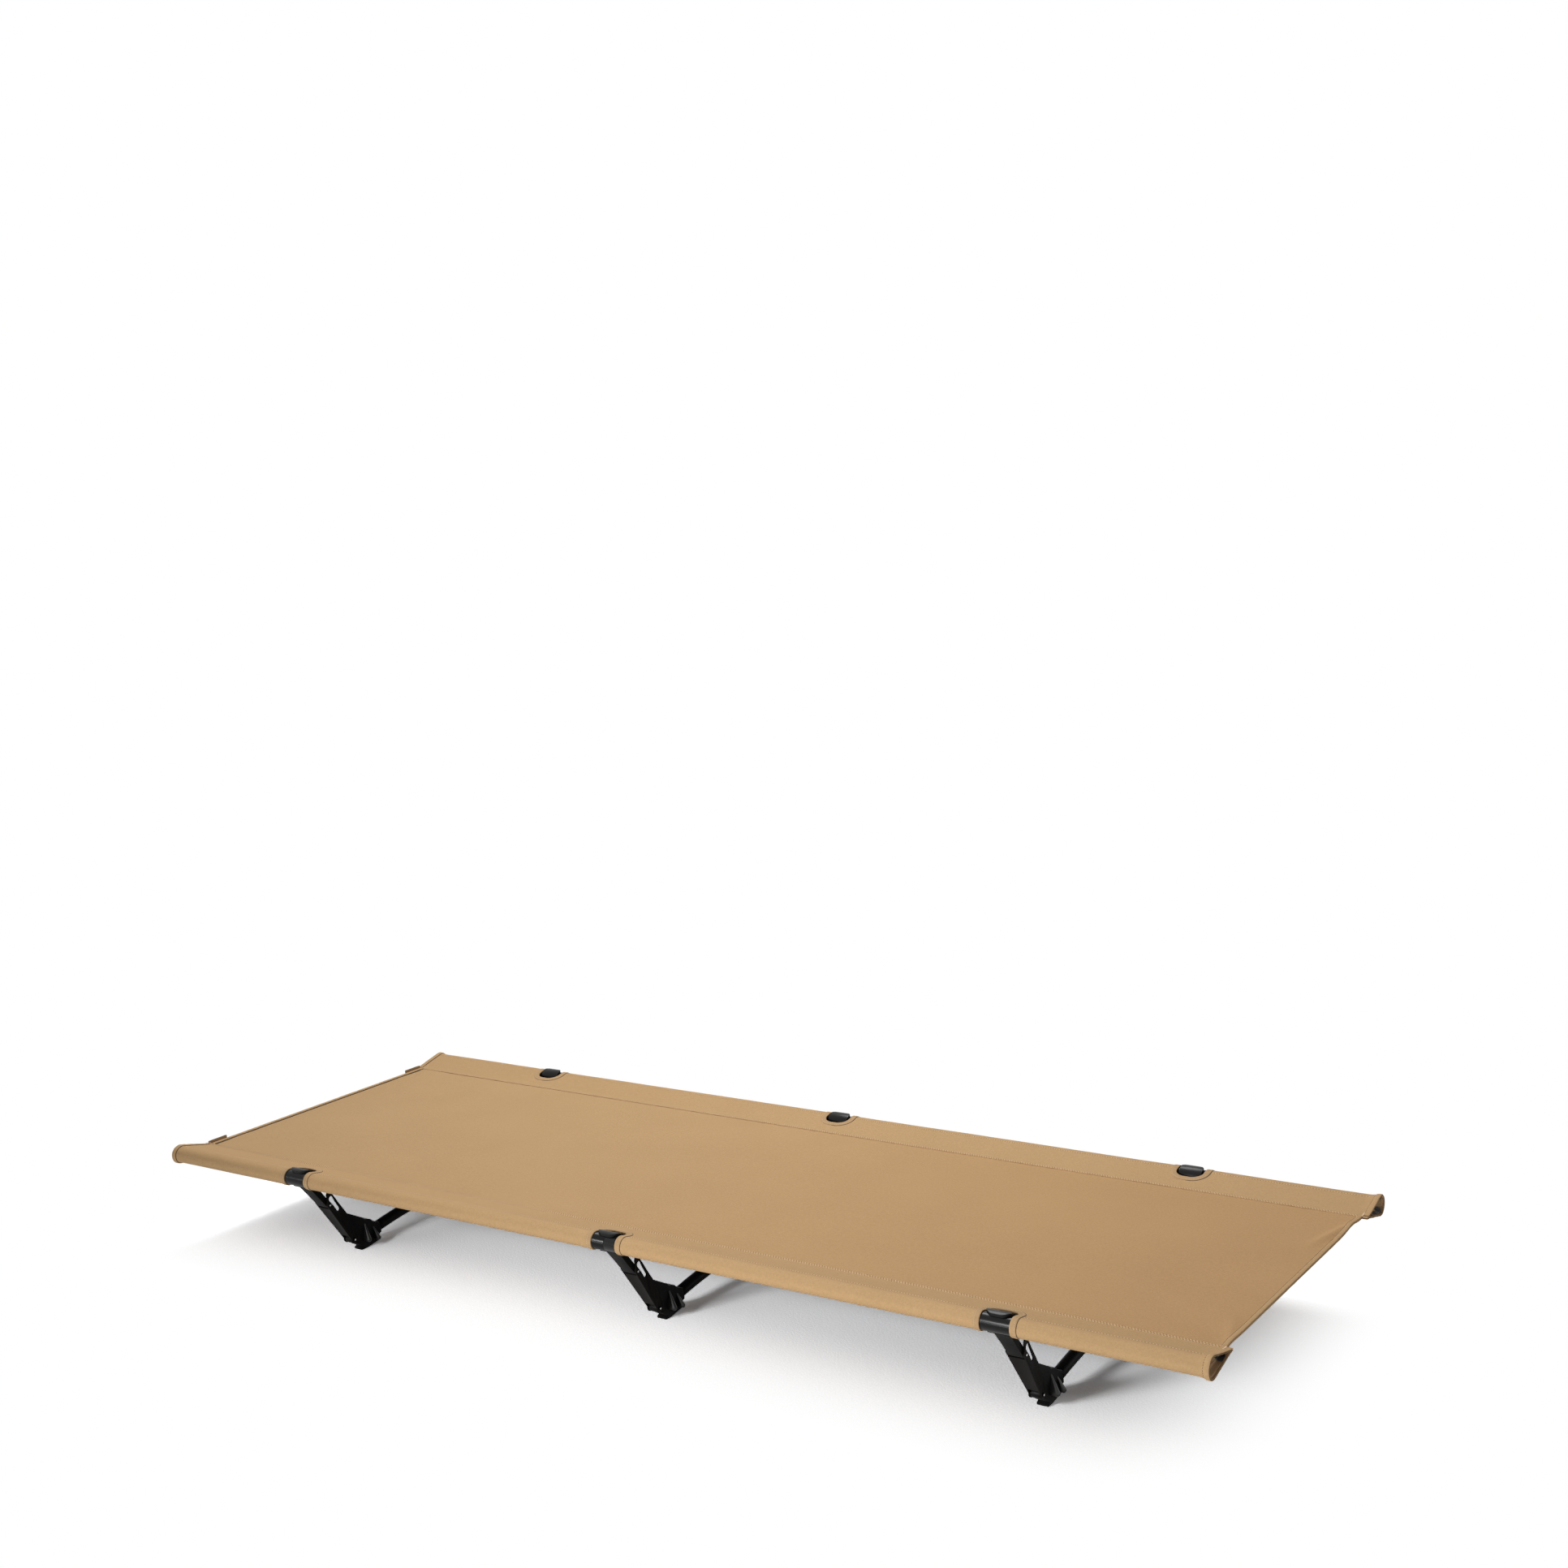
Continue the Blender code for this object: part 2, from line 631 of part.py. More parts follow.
def lower_pins():
    """The steel pin that holds each lever on its hub, with a low head at both ends."""
    material = finish("pin_steel", (0.75, 0.75, 0.74), 0.2, 1.0)
    reach = LEVER_FOOT_WIDTH / 2 + GAP
    core = reach + PIN_HEAD / 2
    shank = rod((-core, *PIVOT), (core, *PIVOT), PIN_R)
    heads = []
    for turn in (-1, 1):
        start = (turn * reach, *PIVOT)
        stop = (turn * (reach + PIN_HEAD), *PIVOT)
        heads.append(("UNION", rod(start, stop, PIN_HEAD_R)))
    place_legs("lower_pin", combine(shank, heads), PIVOT, material)


rails()
panel(sleeves())
pull_tabs()
bows()
hubs()
levers()
hooks()
lower_pins()
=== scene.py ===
"""The look of a low camping cot: cloth, stitching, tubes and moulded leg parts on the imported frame."""

import math

import bpy
import numpy as np
from mathutils import Matrix, Vector, noise


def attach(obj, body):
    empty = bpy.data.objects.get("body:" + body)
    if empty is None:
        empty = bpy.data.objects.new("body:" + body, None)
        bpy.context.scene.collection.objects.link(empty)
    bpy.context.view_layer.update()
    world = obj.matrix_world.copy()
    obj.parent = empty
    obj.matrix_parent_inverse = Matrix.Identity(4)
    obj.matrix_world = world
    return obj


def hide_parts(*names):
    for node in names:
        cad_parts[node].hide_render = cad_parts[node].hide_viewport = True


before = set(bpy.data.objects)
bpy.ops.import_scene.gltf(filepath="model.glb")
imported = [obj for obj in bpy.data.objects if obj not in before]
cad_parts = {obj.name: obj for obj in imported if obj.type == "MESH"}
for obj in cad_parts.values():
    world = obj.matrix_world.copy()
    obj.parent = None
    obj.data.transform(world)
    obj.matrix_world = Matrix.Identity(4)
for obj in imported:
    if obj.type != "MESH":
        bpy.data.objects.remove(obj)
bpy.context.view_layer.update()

# The viewpoint: a low three-quarter view from in front of the right end, through a lens whose
# field of view is given by its focal length in pixels of the square frame.
VIEW_TURN = math.radians(33.9149)
VIEW_LIFT = math.radians(7.882)
VIEW_ROLL = math.radians(-2.5042)
VIEW_DISTANCE = 3.1818
VIEW_TARGET = Vector((0.13, 0.0, 0.8105))
VIEW_FOCAL = 2548.15
FRAME_SIZE = 1932
SENSOR = 36.0

back = Vector((math.sin(VIEW_TURN) * math.cos(VIEW_LIFT),
               -math.cos(VIEW_TURN) * math.cos(VIEW_LIFT), math.sin(VIEW_LIFT)))
level = Vector((math.cos(VIEW_TURN), math.sin(VIEW_TURN), 0.0))
upright = back.cross(level)
right = level * math.cos(VIEW_ROLL) + upright * math.sin(VIEW_ROLL)
up = upright * math.cos(VIEW_ROLL) - level * math.sin(VIEW_ROLL)
lens = bpy.data.cameras.new("view")
lens.sensor_fit = "HORIZONTAL"
lens.sensor_width = SENSOR
lens.lens = SENSOR * VIEW_FOCAL / FRAME_SIZE
camera = bpy.data.objects.new("view", lens)
camera.matrix_world = Matrix.Translation(VIEW_TARGET + back * VIEW_DISTANCE) @ Matrix(
    (right, up, back)).transposed().to_4x4()
bpy.context.scene.collection.objects.link(camera)
bpy.context.scene.camera = camera
bpy.context.scene.view_settings.view_transform = "Standard"


# The studio: a pale, finely grained floor that fades to white away from the object, a large
# softbox overhead behind the left half, and three weaker ones in front that rake the near side.
class Wire:
    """An output of a node. Python's operators on it add Math nodes, and node() adds any other."""

    def __init__(self, tree, socket=None):
        self.tree = tree
        self.socket = socket

    def node(self, kind, settings=None, inputs=None, out=0):
        made = self.tree.nodes.new(kind)
        for name, value in (settings or {}).items():
            setattr(made, name, value)
        for name, value in (inputs or {}).items():
            if isinstance(value, Wire):
                self.tree.links.new(value.socket, made.inputs[name])
            else:
                made.inputs[name].default_value = value
        return Wire(self.tree, made.outputs[out] if made.outputs else None)

    def math(self, operation, *values):
        return self.node("ShaderNodeMath", {"operation": operation}, dict(enumerate(values)))

    def vector(self, operation, *values, out=0):
        return self.node("ShaderNodeVectorMath", {"operation": operation}, dict(enumerate(values)), out)

    def __add__(self, other):
        return self.math("ADD", self, other)

    def __radd__(self, other):
        return self.math("ADD", other, self)

    def __mul__(self, other):
        return self.math("MULTIPLY", self, other)

    def __rmul__(self, other):
        return self.math("MULTIPLY", other, self)

    def above(self, low, high):
        """0 below one value, 1 above the other, and smooth between them."""
        return self.node("ShaderNodeMapRange", {"interpolation_type": "SMOOTHSTEP"},
                         {"Value": self, "From Min": low, "From Max": high})

    def speckle(self, scale, detail):
        """Noise over these coordinates, with about so many grains to the metre."""
        return self.node("ShaderNodeTexNoise", {}, {"Vector": self, "Scale": scale, "Detail": detail})

    def tint(self, first, second):
        """A colour between two others, of which this value is the share of the second."""
        mixed = self.tree.nodes.new("ShaderNodeMix")
        mixed.data_type = "RGBA"
        self.tree.links.new(self.socket, mixed.inputs["Factor"])
        for name, value in (("A", first), ("B", second)):
            socket = next(s for s in mixed.inputs if s.name == name and s.type == "RGBA")
            if isinstance(value, Wire):
                self.tree.links.new(value.socket, socket)
            else:
                socket.default_value = (*value, 1.0)
        return Wire(self.tree, next(s for s in mixed.outputs if s.type == "RGBA"))


WHITE = (1.0, 1.0, 1.0, 1.0)
FLOOR_SIZE = 40.0
FLOOR_GLOW = 0.02
FLOOR_GRAIN = 300.0
FLOOR_RELIEF = 0.00016
# Painted light: the floor's colours for the camera stand well above white, and higher towards the left.
FLOOR_RIGHT = ((1.94, 1.98, 2.03), (2.36, 2.41, 2.47))
FLOOR_LEFT = ((2.90, 2.96, 3.05), (3.50, 3.58, 3.68))
TONE_TURN = (0.55, -0.60)
FADE_END = 0.31
SHADE_MIDDLE = (-0.08, 0.05, 0.0)
SHADE_HALF = (0.75, 0.17, 0.0)
AMBIENT = 0.15


def eye_rays(wire):
    """Whether a ray comes from the camera, and whether it does so straight or by gloss or glass."""
    outputs = wire.node("ShaderNodeLightPath").socket.node.outputs
    direct, glossy, through = (Wire(wire.tree, outputs[f"Is {kind} Ray"])
                               for kind in ("Camera", "Glossy", "Transmission"))
    return direct, direct + glossy + through


floor_look = bpy.data.materials.new("studio_floor")
floor_look.use_nodes = True
floor_look.node_tree.nodes.clear()
wire = Wire(floor_look.node_tree)
direct, seen = eye_rays(wire)
spot = wire.node("ShaderNodeTexCoord", out="Object")
away = wire.vector("ABSOLUTE", wire.vector("SUBTRACT", spot, SHADE_MIDDLE))
away = wire.vector("MAXIMUM", wire.vector("SUBTRACT", away, SHADE_HALF), (0.0, 0.0, 0.0))
away = wire.vector("LENGTH", away, out="Value")
grain = spot.speckle(FLOOR_GRAIN, 2.0)
grain = grain.above(0.3, 0.7)
across = wire.node("ShaderNodeSeparateXYZ", {}, {"Vector": spot})
# Painted light: the raised tone leaves only the deep shade under the bed, lighter towards the left, and away
# from a box round the bed the floor turns plain white.
tone = across.above(*TONE_TURN).tint(grain.tint(*FLOOR_RIGHT), grain.tint(*FLOOR_LEFT))
relief = wire.node("ShaderNodeBump", {}, {"Height": grain, "Strength": 0.7, "Distance": FLOOR_RELIEF})
matt = wire.node("ShaderNodeBsdfDiffuse", {}, {"Color": tone, "Normal": relief})
glow = wire.node("ShaderNodeEmission", {}, {"Strength": FLOOR_GLOW})
near = wire.node("ShaderNodeAddShader", {}, {0: matt, 1: glow})
plain = wire.node("ShaderNodeBsdfDiffuse", {}, {"Color": WHITE})
near = wire.node("ShaderNodeMixShader", {}, {0: direct, 1: plain, 2: near})
white = wire.node("ShaderNodeEmission", {}, {"Strength": 1.0})
shown = wire.node("ShaderNodeMixShader", {}, {0: away.above(0.0, FADE_END), 1: near, 2: white})
ground = wire.node("ShaderNodeMixShader", {}, {0: seen, 1: plain, 2: shown})
wire.node("ShaderNodeOutputMaterial", {}, {"Surface": ground})

bpy.ops.mesh.primitive_plane_add(size=FLOOR_SIZE)
floor = bpy.context.object
floor.name = "studio_floor"
floor.data.materials.append(floor_look)

sky = bpy.data.worlds.new("studio_air")
sky.use_nodes = True
sky.node_tree.nodes.clear()
bpy.context.scene.world = sky
wire = Wire(sky.node_tree)
direct, seen = eye_rays(wire)
strength = AMBIENT + (1.0 - AMBIENT) * seen
air = wire.node("ShaderNodeBackground", {}, {"Color": WHITE, "Strength": strength})
wire.node("ShaderNodeOutputWorld", {}, {"Surface": air})


def soft_light(name, place, aim, width, height, power, spread=180.0):
    """A rectangular softbox that faces a point, with its light gathered into a beam if asked."""
    lamp = bpy.data.lights.new(name, "AREA")
    lamp.shape = "RECTANGLE"
    lamp.size = width
    lamp.size_y = height
    lamp.energy = power
    lamp.spread = math.radians(spread)
    box = bpy.data.objects.new(name, lamp)
    box.location = place
    box.rotation_euler = (Vector(aim) - Vector(place)).to_track_quat("-Z", "Y").to_euler()
    bpy.context.scene.collection.objects.link(box)


soft_light("overhead_softbox", (-0.55, 1.05, 2.8), (-0.15, 0.0, 0.0), 1.4, 1.2, 64.0)
soft_light("front_softbox", (-0.45, -2.7, 1.12), (0.9, 0.0, 0.1), 0.7, 0.5, 9.4, 84.0)
soft_light("edge_softbox", (-1.70, -2.75, 0.60), (0.5, -0.33, 0.16), 1.8, 0.10, 3.0, 100.0)
soft_light("low_card", (-0.50, -2.7, 0.20), (0.7, -0.33, 0.14), 0.7, 0.16, 1.1, 80.0)


# The two side rails: four drawn aluminium tubes each, anodised black, butted end to end over
# hidden grey ferrules. The outer ends are closed by pressed-in plugs.
LENGTH = 1.90
RAIL_OUT = 0.328
RAIL_HEIGHT = 0.1624
RAIL_R = 0.0125
RAIL_WALL = 0.0012
RAIL_INSET = 0.018
RAIL_SECTIONS = 4
RAIL_EASE = 0.0005
GAP = 0.0003
RAIL_DRAWN = (6.0, 900.0, 900.0)
SIDES = (("near", -1), ("far", 1))


def only(item):
    """Leaves one object selected and active, which is what the operators act on."""
    if bpy.context.mode != "OBJECT":
        bpy.ops.object.mode_set(mode="OBJECT")
    bpy.ops.object.select_all(action="DESELECT")
    item.select_set(True)
    bpy.context.view_layer.objects.active = item


def modified(item, kind, **settings):
    """Adds a modifier and applies it."""
    change = item.modifiers.new(kind.lower(), kind)
    for name, value in settings.items():
        setattr(change, name, value)
    only(item)
    bpy.ops.object.modifier_apply(modifier=change.name)


def applied(item, name):
    """Names a new primitive and puts its place into its mesh."""
    item.name = name
    item.data.name = name
    only(item)
    bpy.ops.object.transform_apply(location=True, rotation=True, scale=True)
    return item


def smoothed(item, degrees=35.0):
    """Shades a piece smooth, except over sharper edges than this."""
    only(item)
    bpy.ops.object.shade_smooth_by_angle(angle=math.radians(degrees))


def coated(item, look, body="frame"):
    """Gives a piece its material and slot and lets it ride on its body."""
    item.data.materials.clear()
    item.data.materials.append(look)
    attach(item, body)


def finish_of(name, roughness, metallic=0.0, specular=0.5):
    """A material with its shader, and a wire to make its nodes with."""
    made = bpy.data.materials.new(name)
    made.use_nodes = True
    shader = made.node_tree.nodes["Principled BSDF"]
    shader.inputs["Roughness"].default_value = roughness
    shader.inputs["Metallic"].default_value = metallic
    shader.inputs["Specular IOR Level"].default_value = specular
    return made, shader, Wire(made.node_tree)


def joined(shader, name, wire_in):
    """Feeds one of a shader's sockets."""
    wire_in.tree.links.new(wire_in.socket, shader.inputs[name])


def bumped(shader, wire_in, height, strength, distance):
    """Feeds a height, 0 to 1, and the distance in metres that 1 stands for to the normal."""
    bump = wire_in.node("ShaderNodeBump", {}, {"Height": height, "Strength": strength,
                                              "Distance": distance})
    joined(shader, "Normal", bump)


def drawn_lines(wire, spot):
    """The fine lines that a drawing die leaves along a tube."""
    along = wire.node("ShaderNodeMapping", {}, {"Vector": spot, "Scale": RAIL_DRAWN})
    return along.speckle(1.0, 3.0)


def faces_deleted(item, chosen):
    """Deletes the faces that a test picks."""
    only(item)
    bpy.ops.object.mode_set(mode="EDIT")
    bpy.ops.mesh.select_mode(type="FACE")
    bpy.ops.mesh.select_all(action="DESELECT")
    bpy.ops.object.mode_set(mode="OBJECT")
    for face in item.data.polygons:
        face.select = chosen(face)
    bpy.ops.object.mode_set(mode="EDIT")
    bpy.ops.mesh.delete(type="FACE")
    bpy.ops.object.mode_set(mode="OBJECT")


rail_look, shader, wire = finish_of("anodised_black", 0.20, 0.0, 0.19)
spot = wire.node("ShaderNodeTexCoord", out="Object")
drawn = drawn_lines(wire, spot)
cloudy = spot.speckle(9.0, 2.0)
joined(shader, "Base Color", cloudy.tint((0.0040, 0.0034, 0.0032), (0.0062, 0.0055, 0.0052)))
joined(shader, "Roughness", 0.19 + 0.06 * drawn + 0.04 * cloudy)
bumped(shader, wire, drawn, 0.2, 0.00003)

run = LENGTH - 2 * RAIL_INSET
step = run / RAIL_SECTIONS
for side, sign in SIDES:
    for i in range(RAIL_SECTIONS):
        ends = {0: -1, RAIL_SECTIONS - 1: 1}.get(i, 0)
        middle = (-run / 2 + (i + 0.5) * step, sign * RAIL_OUT, RAIL_HEIGHT)
        bpy.ops.object.select_all(action="DESELECT")
        bpy.ops.mesh.primitive_cylinder_add(vertices=48, radius=RAIL_R, depth=step - GAP,
                                            end_fill_type="NGON" if ends else "NOTHING",
                                            location=middle, rotation=(0.0, math.pi / 2, 0.0))
        tube = applied(bpy.context.object, f"rail_tube_{side}_{i + 1}")
        if ends:
            faces_deleted(tube, lambda face: face.normal.x * ends < -0.9)
        modified(tube, "SOLIDIFY", thickness=RAIL_WALL, offset=-1.0)
        modified(tube, "BEVEL", width=RAIL_EASE, segments=2, limit_method="ANGLE",
                 angle_limit=math.radians(60))
        smoothed(tube)
        coated(tube, rail_look)
        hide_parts(f"rail_{side}_{i + 1}")


# The ferrules inside the rail joints: short grey anodised tubes, out of sight while the rails
# are together.
ferrule_look, shader, wire = finish_of("anodised_grey", 0.3, 1.0)
drawn = drawn_lines(wire, wire.node("ShaderNodeTexCoord", out="Object"))
joined(shader, "Base Color", drawn.tint((0.30, 0.30, 0.31), (0.38, 0.38, 0.39)))
joined(shader, "Roughness", 0.24 + 0.14 * drawn)
for name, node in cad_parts.items():
    if "ferrule" in name:
        node.data.materials.clear()
        node.data.materials.append(ferrule_look)


# The sleeves: each long edge of the sling is a doubled strip of woven polyester, sewn to the bed
# along its inner edge and drawn round the rail. Half-round cut-outs leave the rails bare at the
# legs. Each is made flat, with the cut-outs, and then laid round its rail.
CLOTH = 0.0008
PANEL = 0.0012
SLEEVE_R = RAIL_R + GAP + CLOTH / 2
SEAM_OUT = 0.2665
TILT = math.asin((RAIL_R + GAP + CLOTH) / (RAIL_OUT - SEAM_OUT))
APEX_OUT = RAIL_OUT - SLEEVE_R / math.sin(TILT)
APEX_REACH = RAIL_OUT - APEX_OUT
FLAT = math.sqrt(APEX_REACH ** 2 - SLEEVE_R ** 2)
WRAP = SLEEVE_R * (math.pi + 2 * TILT)
GIRTH = 2 * FLAT + WRAP
LAP = 0.0050
LAP_LIFT = PANEL / 2 + CLOTH / 2
MOUTH_FLARE = 0.0016
MOUTH_START = 0.020
PLACES = (("left", -0.652), ("middle", 0.0), ("right", 0.652))
CUT_WIDTH = 0.046
CUT_START = 0.0325
CUT_CORNER = 0.018
CLOTH_GRID = (0.0046, 0.0028)
STEP_S = 0.0004
ROW_OUT = 0.322
LAP_BEND = 0.0006
SLACK = 0.00045
FINE_SLACK = 0.00016
SEAM_PUCKER = 0.00020
ROW_PUCKER = 0.00014
MOUTH_CREASE = 0.0006
CUT_DRAG = 0.00030
ROW_S = (ROW_OUT - APEX_OUT) / math.cos(TILT)
YARN = 0.0011
REVERSE_GREY = (0.060, 0.062, 0.068)


def eased(value):
    """0 to 1, starting and ending gently."""
    value = min(max(value, 0.0), 1.0)
    return value * value * (3.0 - 2.0 * value)


def section(x, s):
    """A point of the sleeve's middle surface, as (out, up from the rail's axis)."""
    radius = SLEEVE_R + MOUTH_FLARE * eased(1.0 - (LENGTH / 2 - abs(x)) / MOUTH_START)
    tilt = math.asin(radius / APEX_REACH)
    flat = math.sqrt(APEX_REACH ** 2 - radius ** 2)
    t = min(s, GIRTH - s)
    if t < FLAT:
        along = t * flat / FLAT
        out = APEX_OUT + along * math.cos(tilt)
        rise = along * math.sin(tilt)
        lift = 0.5 * (rise + LAP_LIFT + math.sqrt((rise - LAP_LIFT) ** 2 + LAP_BEND ** 2))
    else:
        angle = (math.pi / 2 + tilt) * (1.0 - (t - FLAT) / (WRAP / 2))
        out = RAIL_OUT + radius * math.cos(angle)
        lift = radius * math.sin(angle)
    return Vector((out, lift if s < GIRTH / 2 else -lift))


def leg_distance(x, s):
    """How far a place of the flat strip is from the nearest cut-out's edge, roughly."""
    dx = min(abs(x - place) for name, place in PLACES) - CUT_WIDTH / 2
    ds = CUT_START - min(s, GIRTH - s)
    return math.hypot(max(dx, 0.0), max(ds, 0.0))


def ripple(x, s, side):
    """How far the cloth stands off its drawn shape: slack waves, puckers and mouth creases."""
    t = min(s, GIRTH - s)
    end = LENGTH / 2 - abs(x)
    slack = noise.noise(Vector((x * 5.5, s * 22.0, side * 9.0))) * SLACK * eased(t / 0.03)
    slack += noise.noise(Vector((x * 22.0, s * 45.0, side * 5.0))) * FINE_SLACK
    pucker = noise.noise(Vector((x * 130.0, s * 40.0, side * 3.0)))
    pucker *= SEAM_PUCKER * math.exp(-t / 0.009) + ROW_PUCKER * math.exp(-abs(t - ROW_S) / 0.006)
    crease = noise.noise(Vector((x * 25.0, s * 190.0, side * 7.0)))
    crease *= MOUTH_CREASE * math.exp(-end / 0.022)
    drag = noise.noise(Vector((x * 70.0, s * 70.0, side * 2.0)))
    drag *= CUT_DRAG * math.exp(-leg_distance(x, s) / 0.012)
    return slack + pucker + crease + drag


def sewn(point, side):
    """Lays a point of the flat strip, (x, s, height over the cloth), round one rail."""
    x, s, height = point
    here = section(x, s)
    along = (section(x, s + STEP_S) - section(x, s - STEP_S)).normalized()
    turned = Vector((-along.y, along.x))
    place = here + turned * (height + ripple(x, s, side))
    return Vector((x, side * place.x, RAIL_HEIGHT + place.y))


def lay_uv(item):
    """Gives a flat cloth a UV map in metres, from its flat places."""
    data = item.data
    spots = np.empty(len(data.vertices) * 3, np.float32)
    data.vertices.foreach_get("co", spots)
    owners = np.empty(len(data.loops), np.int32)
    data.loops.foreach_get("vertex_index", owners)
    layer = data.uv_layers.new(name="cut")
    layer.data.foreach_set("uv", spots.reshape(-1, 3)[owners, :2].ravel())


def edited(item, *steps):
    """Takes one or more steps of mesh editing on the whole of a mesh."""
    only(item)
    bpy.ops.object.mode_set(mode="EDIT")
    bpy.ops.mesh.select_all(action="SELECT")
    for step in steps:
        step()
    bpy.ops.object.mode_set(mode="OBJECT")


def outwards():
    """The step that turns all faces outwards."""
    bpy.ops.mesh.normals_make_consistent(inside=False)


def laid(item, move):
    """Moves each vertex of a flat piece to its sewn place and turns its faces outwards."""
    for vertex in item.data.vertices:
        vertex.co = move(vertex.co)
    edited(item, outwards)


def flat_strip(name, low, high, cell, thickness):
    """A flat cloth of fine squares between two corners of the cutting table."""
    size = (high[0] - low[0], high[1] - low[1])
    bpy.ops.object.select_all(action="DESELECT")
    bpy.ops.mesh.primitive_grid_add(x_subdivisions=round(size[0] / cell[0]),
                                    y_subdivisions=round(size[1] / cell[1]), size=1.0,
                                    location=((low[0] + high[0]) / 2, (low[1] + high[1]) / 2, 0.0))
    item = bpy.context.object
    item.scale = (*size, 1.0)
    applied(item, name)
    modified(item, "SOLIDIFY", thickness=thickness, offset=0.0)
    return item


def cut_out(x):
    """A block with the cut-out's rounded outline, standing through the flat strip."""
    deep = GIRTH - 2 * CUT_START
    bpy.ops.object.select_all(action="DESELECT")
    bpy.ops.mesh.primitive_cube_add(size=1.0, location=(x, GIRTH / 2, 0.0))
    block = bpy.context.object
    block.scale = (CUT_WIDTH, deep, 0.02)
    applied(block, "cut_out")
    bpy.ops.object.mode_set(mode="EDIT")
    bpy.ops.mesh.select_mode(type="EDGE")
    bpy.ops.mesh.select_all(action="DESELECT")
    bpy.ops.object.mode_set(mode="OBJECT")
    spots = block.data.vertices
    for edge in block.data.edges:
        first, second = (spots[i].co for i in edge.vertices)
        edge.select = abs(first.z - second.z) > 0.01
    bpy.ops.object.mode_set(mode="EDIT")
    bpy.ops.mesh.bevel(offset=CUT_CORNER, segments=10, affect="EDGES")
    bpy.ops.object.mode_set(mode="OBJECT")
    return block


def cloth_look(name, first, second, mottle, right_end_shade=None):
    """Woven polyester: plain weave by its UV map, with flecks of yarn and faint clouds, and if asked a
    painted shade that turns warmer and darker towards the right end.
    """
    made, shader, wire = finish_of(name, 0.82, 0.0, 0.1)
    spot = wire.node("ShaderNodeUVMap", {"uv_map": "cut"})
    axes = wire.node("ShaderNodeSeparateXYZ", {}, {"Vector": spot}).socket.node
    warp, weft = (wire.math("SINE", Wire(wire.tree, axes.outputs[way]) * (2 * math.pi / YARN))
                  for way in ("X", "Y"))
    weave = 0.5 + 0.5 * (warp * weft)
    place = wire.node("ShaderNodeTexCoord", out="Object")
    fleck = place.speckle(650.0, 2.0)
    slub = place.speckle(330.0, 1.0)
    clouds = place.speckle(mottle, 3.0)
    share = (0.5 * fleck + 0.2 * weave + 0.5 * slub + 0.25 * clouds).above(0.45, 1.0)
    reverse = wire.node("ShaderNodeAttribute", {"attribute_name": "reverse"}, out="Fac")
    face = share.tint(first, second)
    # Painted shade: towards the right end the colour turns warmer and darker.
    if right_end_shade:
        along = wire.node("ShaderNodeSeparateXYZ", {}, {"Vector": place})
        face = along.above(-0.8, 0.8).tint(face, share.tint(*right_end_shade))
    joined(shader, "Base Color", reverse.tint(face, REVERSE_GREY))
    joined(shader, "Roughness", 0.74 + 0.14 * fleck)
    bumped(shader, wire, 0.7 * weave + 0.5 * fleck, 0.55, 0.00022)
    return made


cloth = cloth_look("woven_tan", (0.500, 0.320, 0.160), (0.587, 0.379, 0.193), 7.0)
# Painted shade: the bed's copy of the cloth is a little darker than the sleeves', and warmer and darker
# still towards the right end.
bed_look = cloth_look("woven_tan_bed", (0.490, 0.315, 0.159), (0.575, 0.374, 0.192), 7.0,
                      ((0.490, 0.297, 0.142), (0.575, 0.352, 0.171)))

strip = flat_strip("sleeve_flat", (-LENGTH / 2, -LAP), (LENGTH / 2, GIRTH + LAP), CLOTH_GRID, CLOTH)
for name, x in PLACES:
    block = cut_out(x)
    modified(strip, "BOOLEAN", operation="DIFFERENCE", object=block, solver="EXACT")
    bpy.data.objects.remove(block, do_unlink=True)
lay_uv(strip)
for side, sign in SIDES:
    sleeve = strip.copy()
    sleeve.data = strip.data.copy()
    sleeve.name = f"rail_sleeve_{side}"
    bpy.context.scene.collection.objects.link(sleeve)
    laid(sleeve, lambda spot: sewn(spot, sign))
    smoothed(sleeve, 45.0)
    coated(sleeve, cloth)
    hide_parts(f"sleeve_{side}")
bpy.data.objects.remove(strip, do_unlink=True)


# The cut-outs' bindings: woven tape of the same tan, folded over the raw edge and stitched down.
# Along the tape's outer edge a dark strip is painted shadow, where the raised tape shades the sleeve.
BINDING = 0.0090
BINDING_OVER = 0.0009
LINE_WIDTH = 0.0006
LINE_OVER = 0.0005
TAPE_CELL = (0.0020, 0.0010)
LINE_CELL = (0.0020, 0.0004)
LINE_THICK_SPOT = (0.024, 0.030)
LINE_THICK_REACH = 0.010


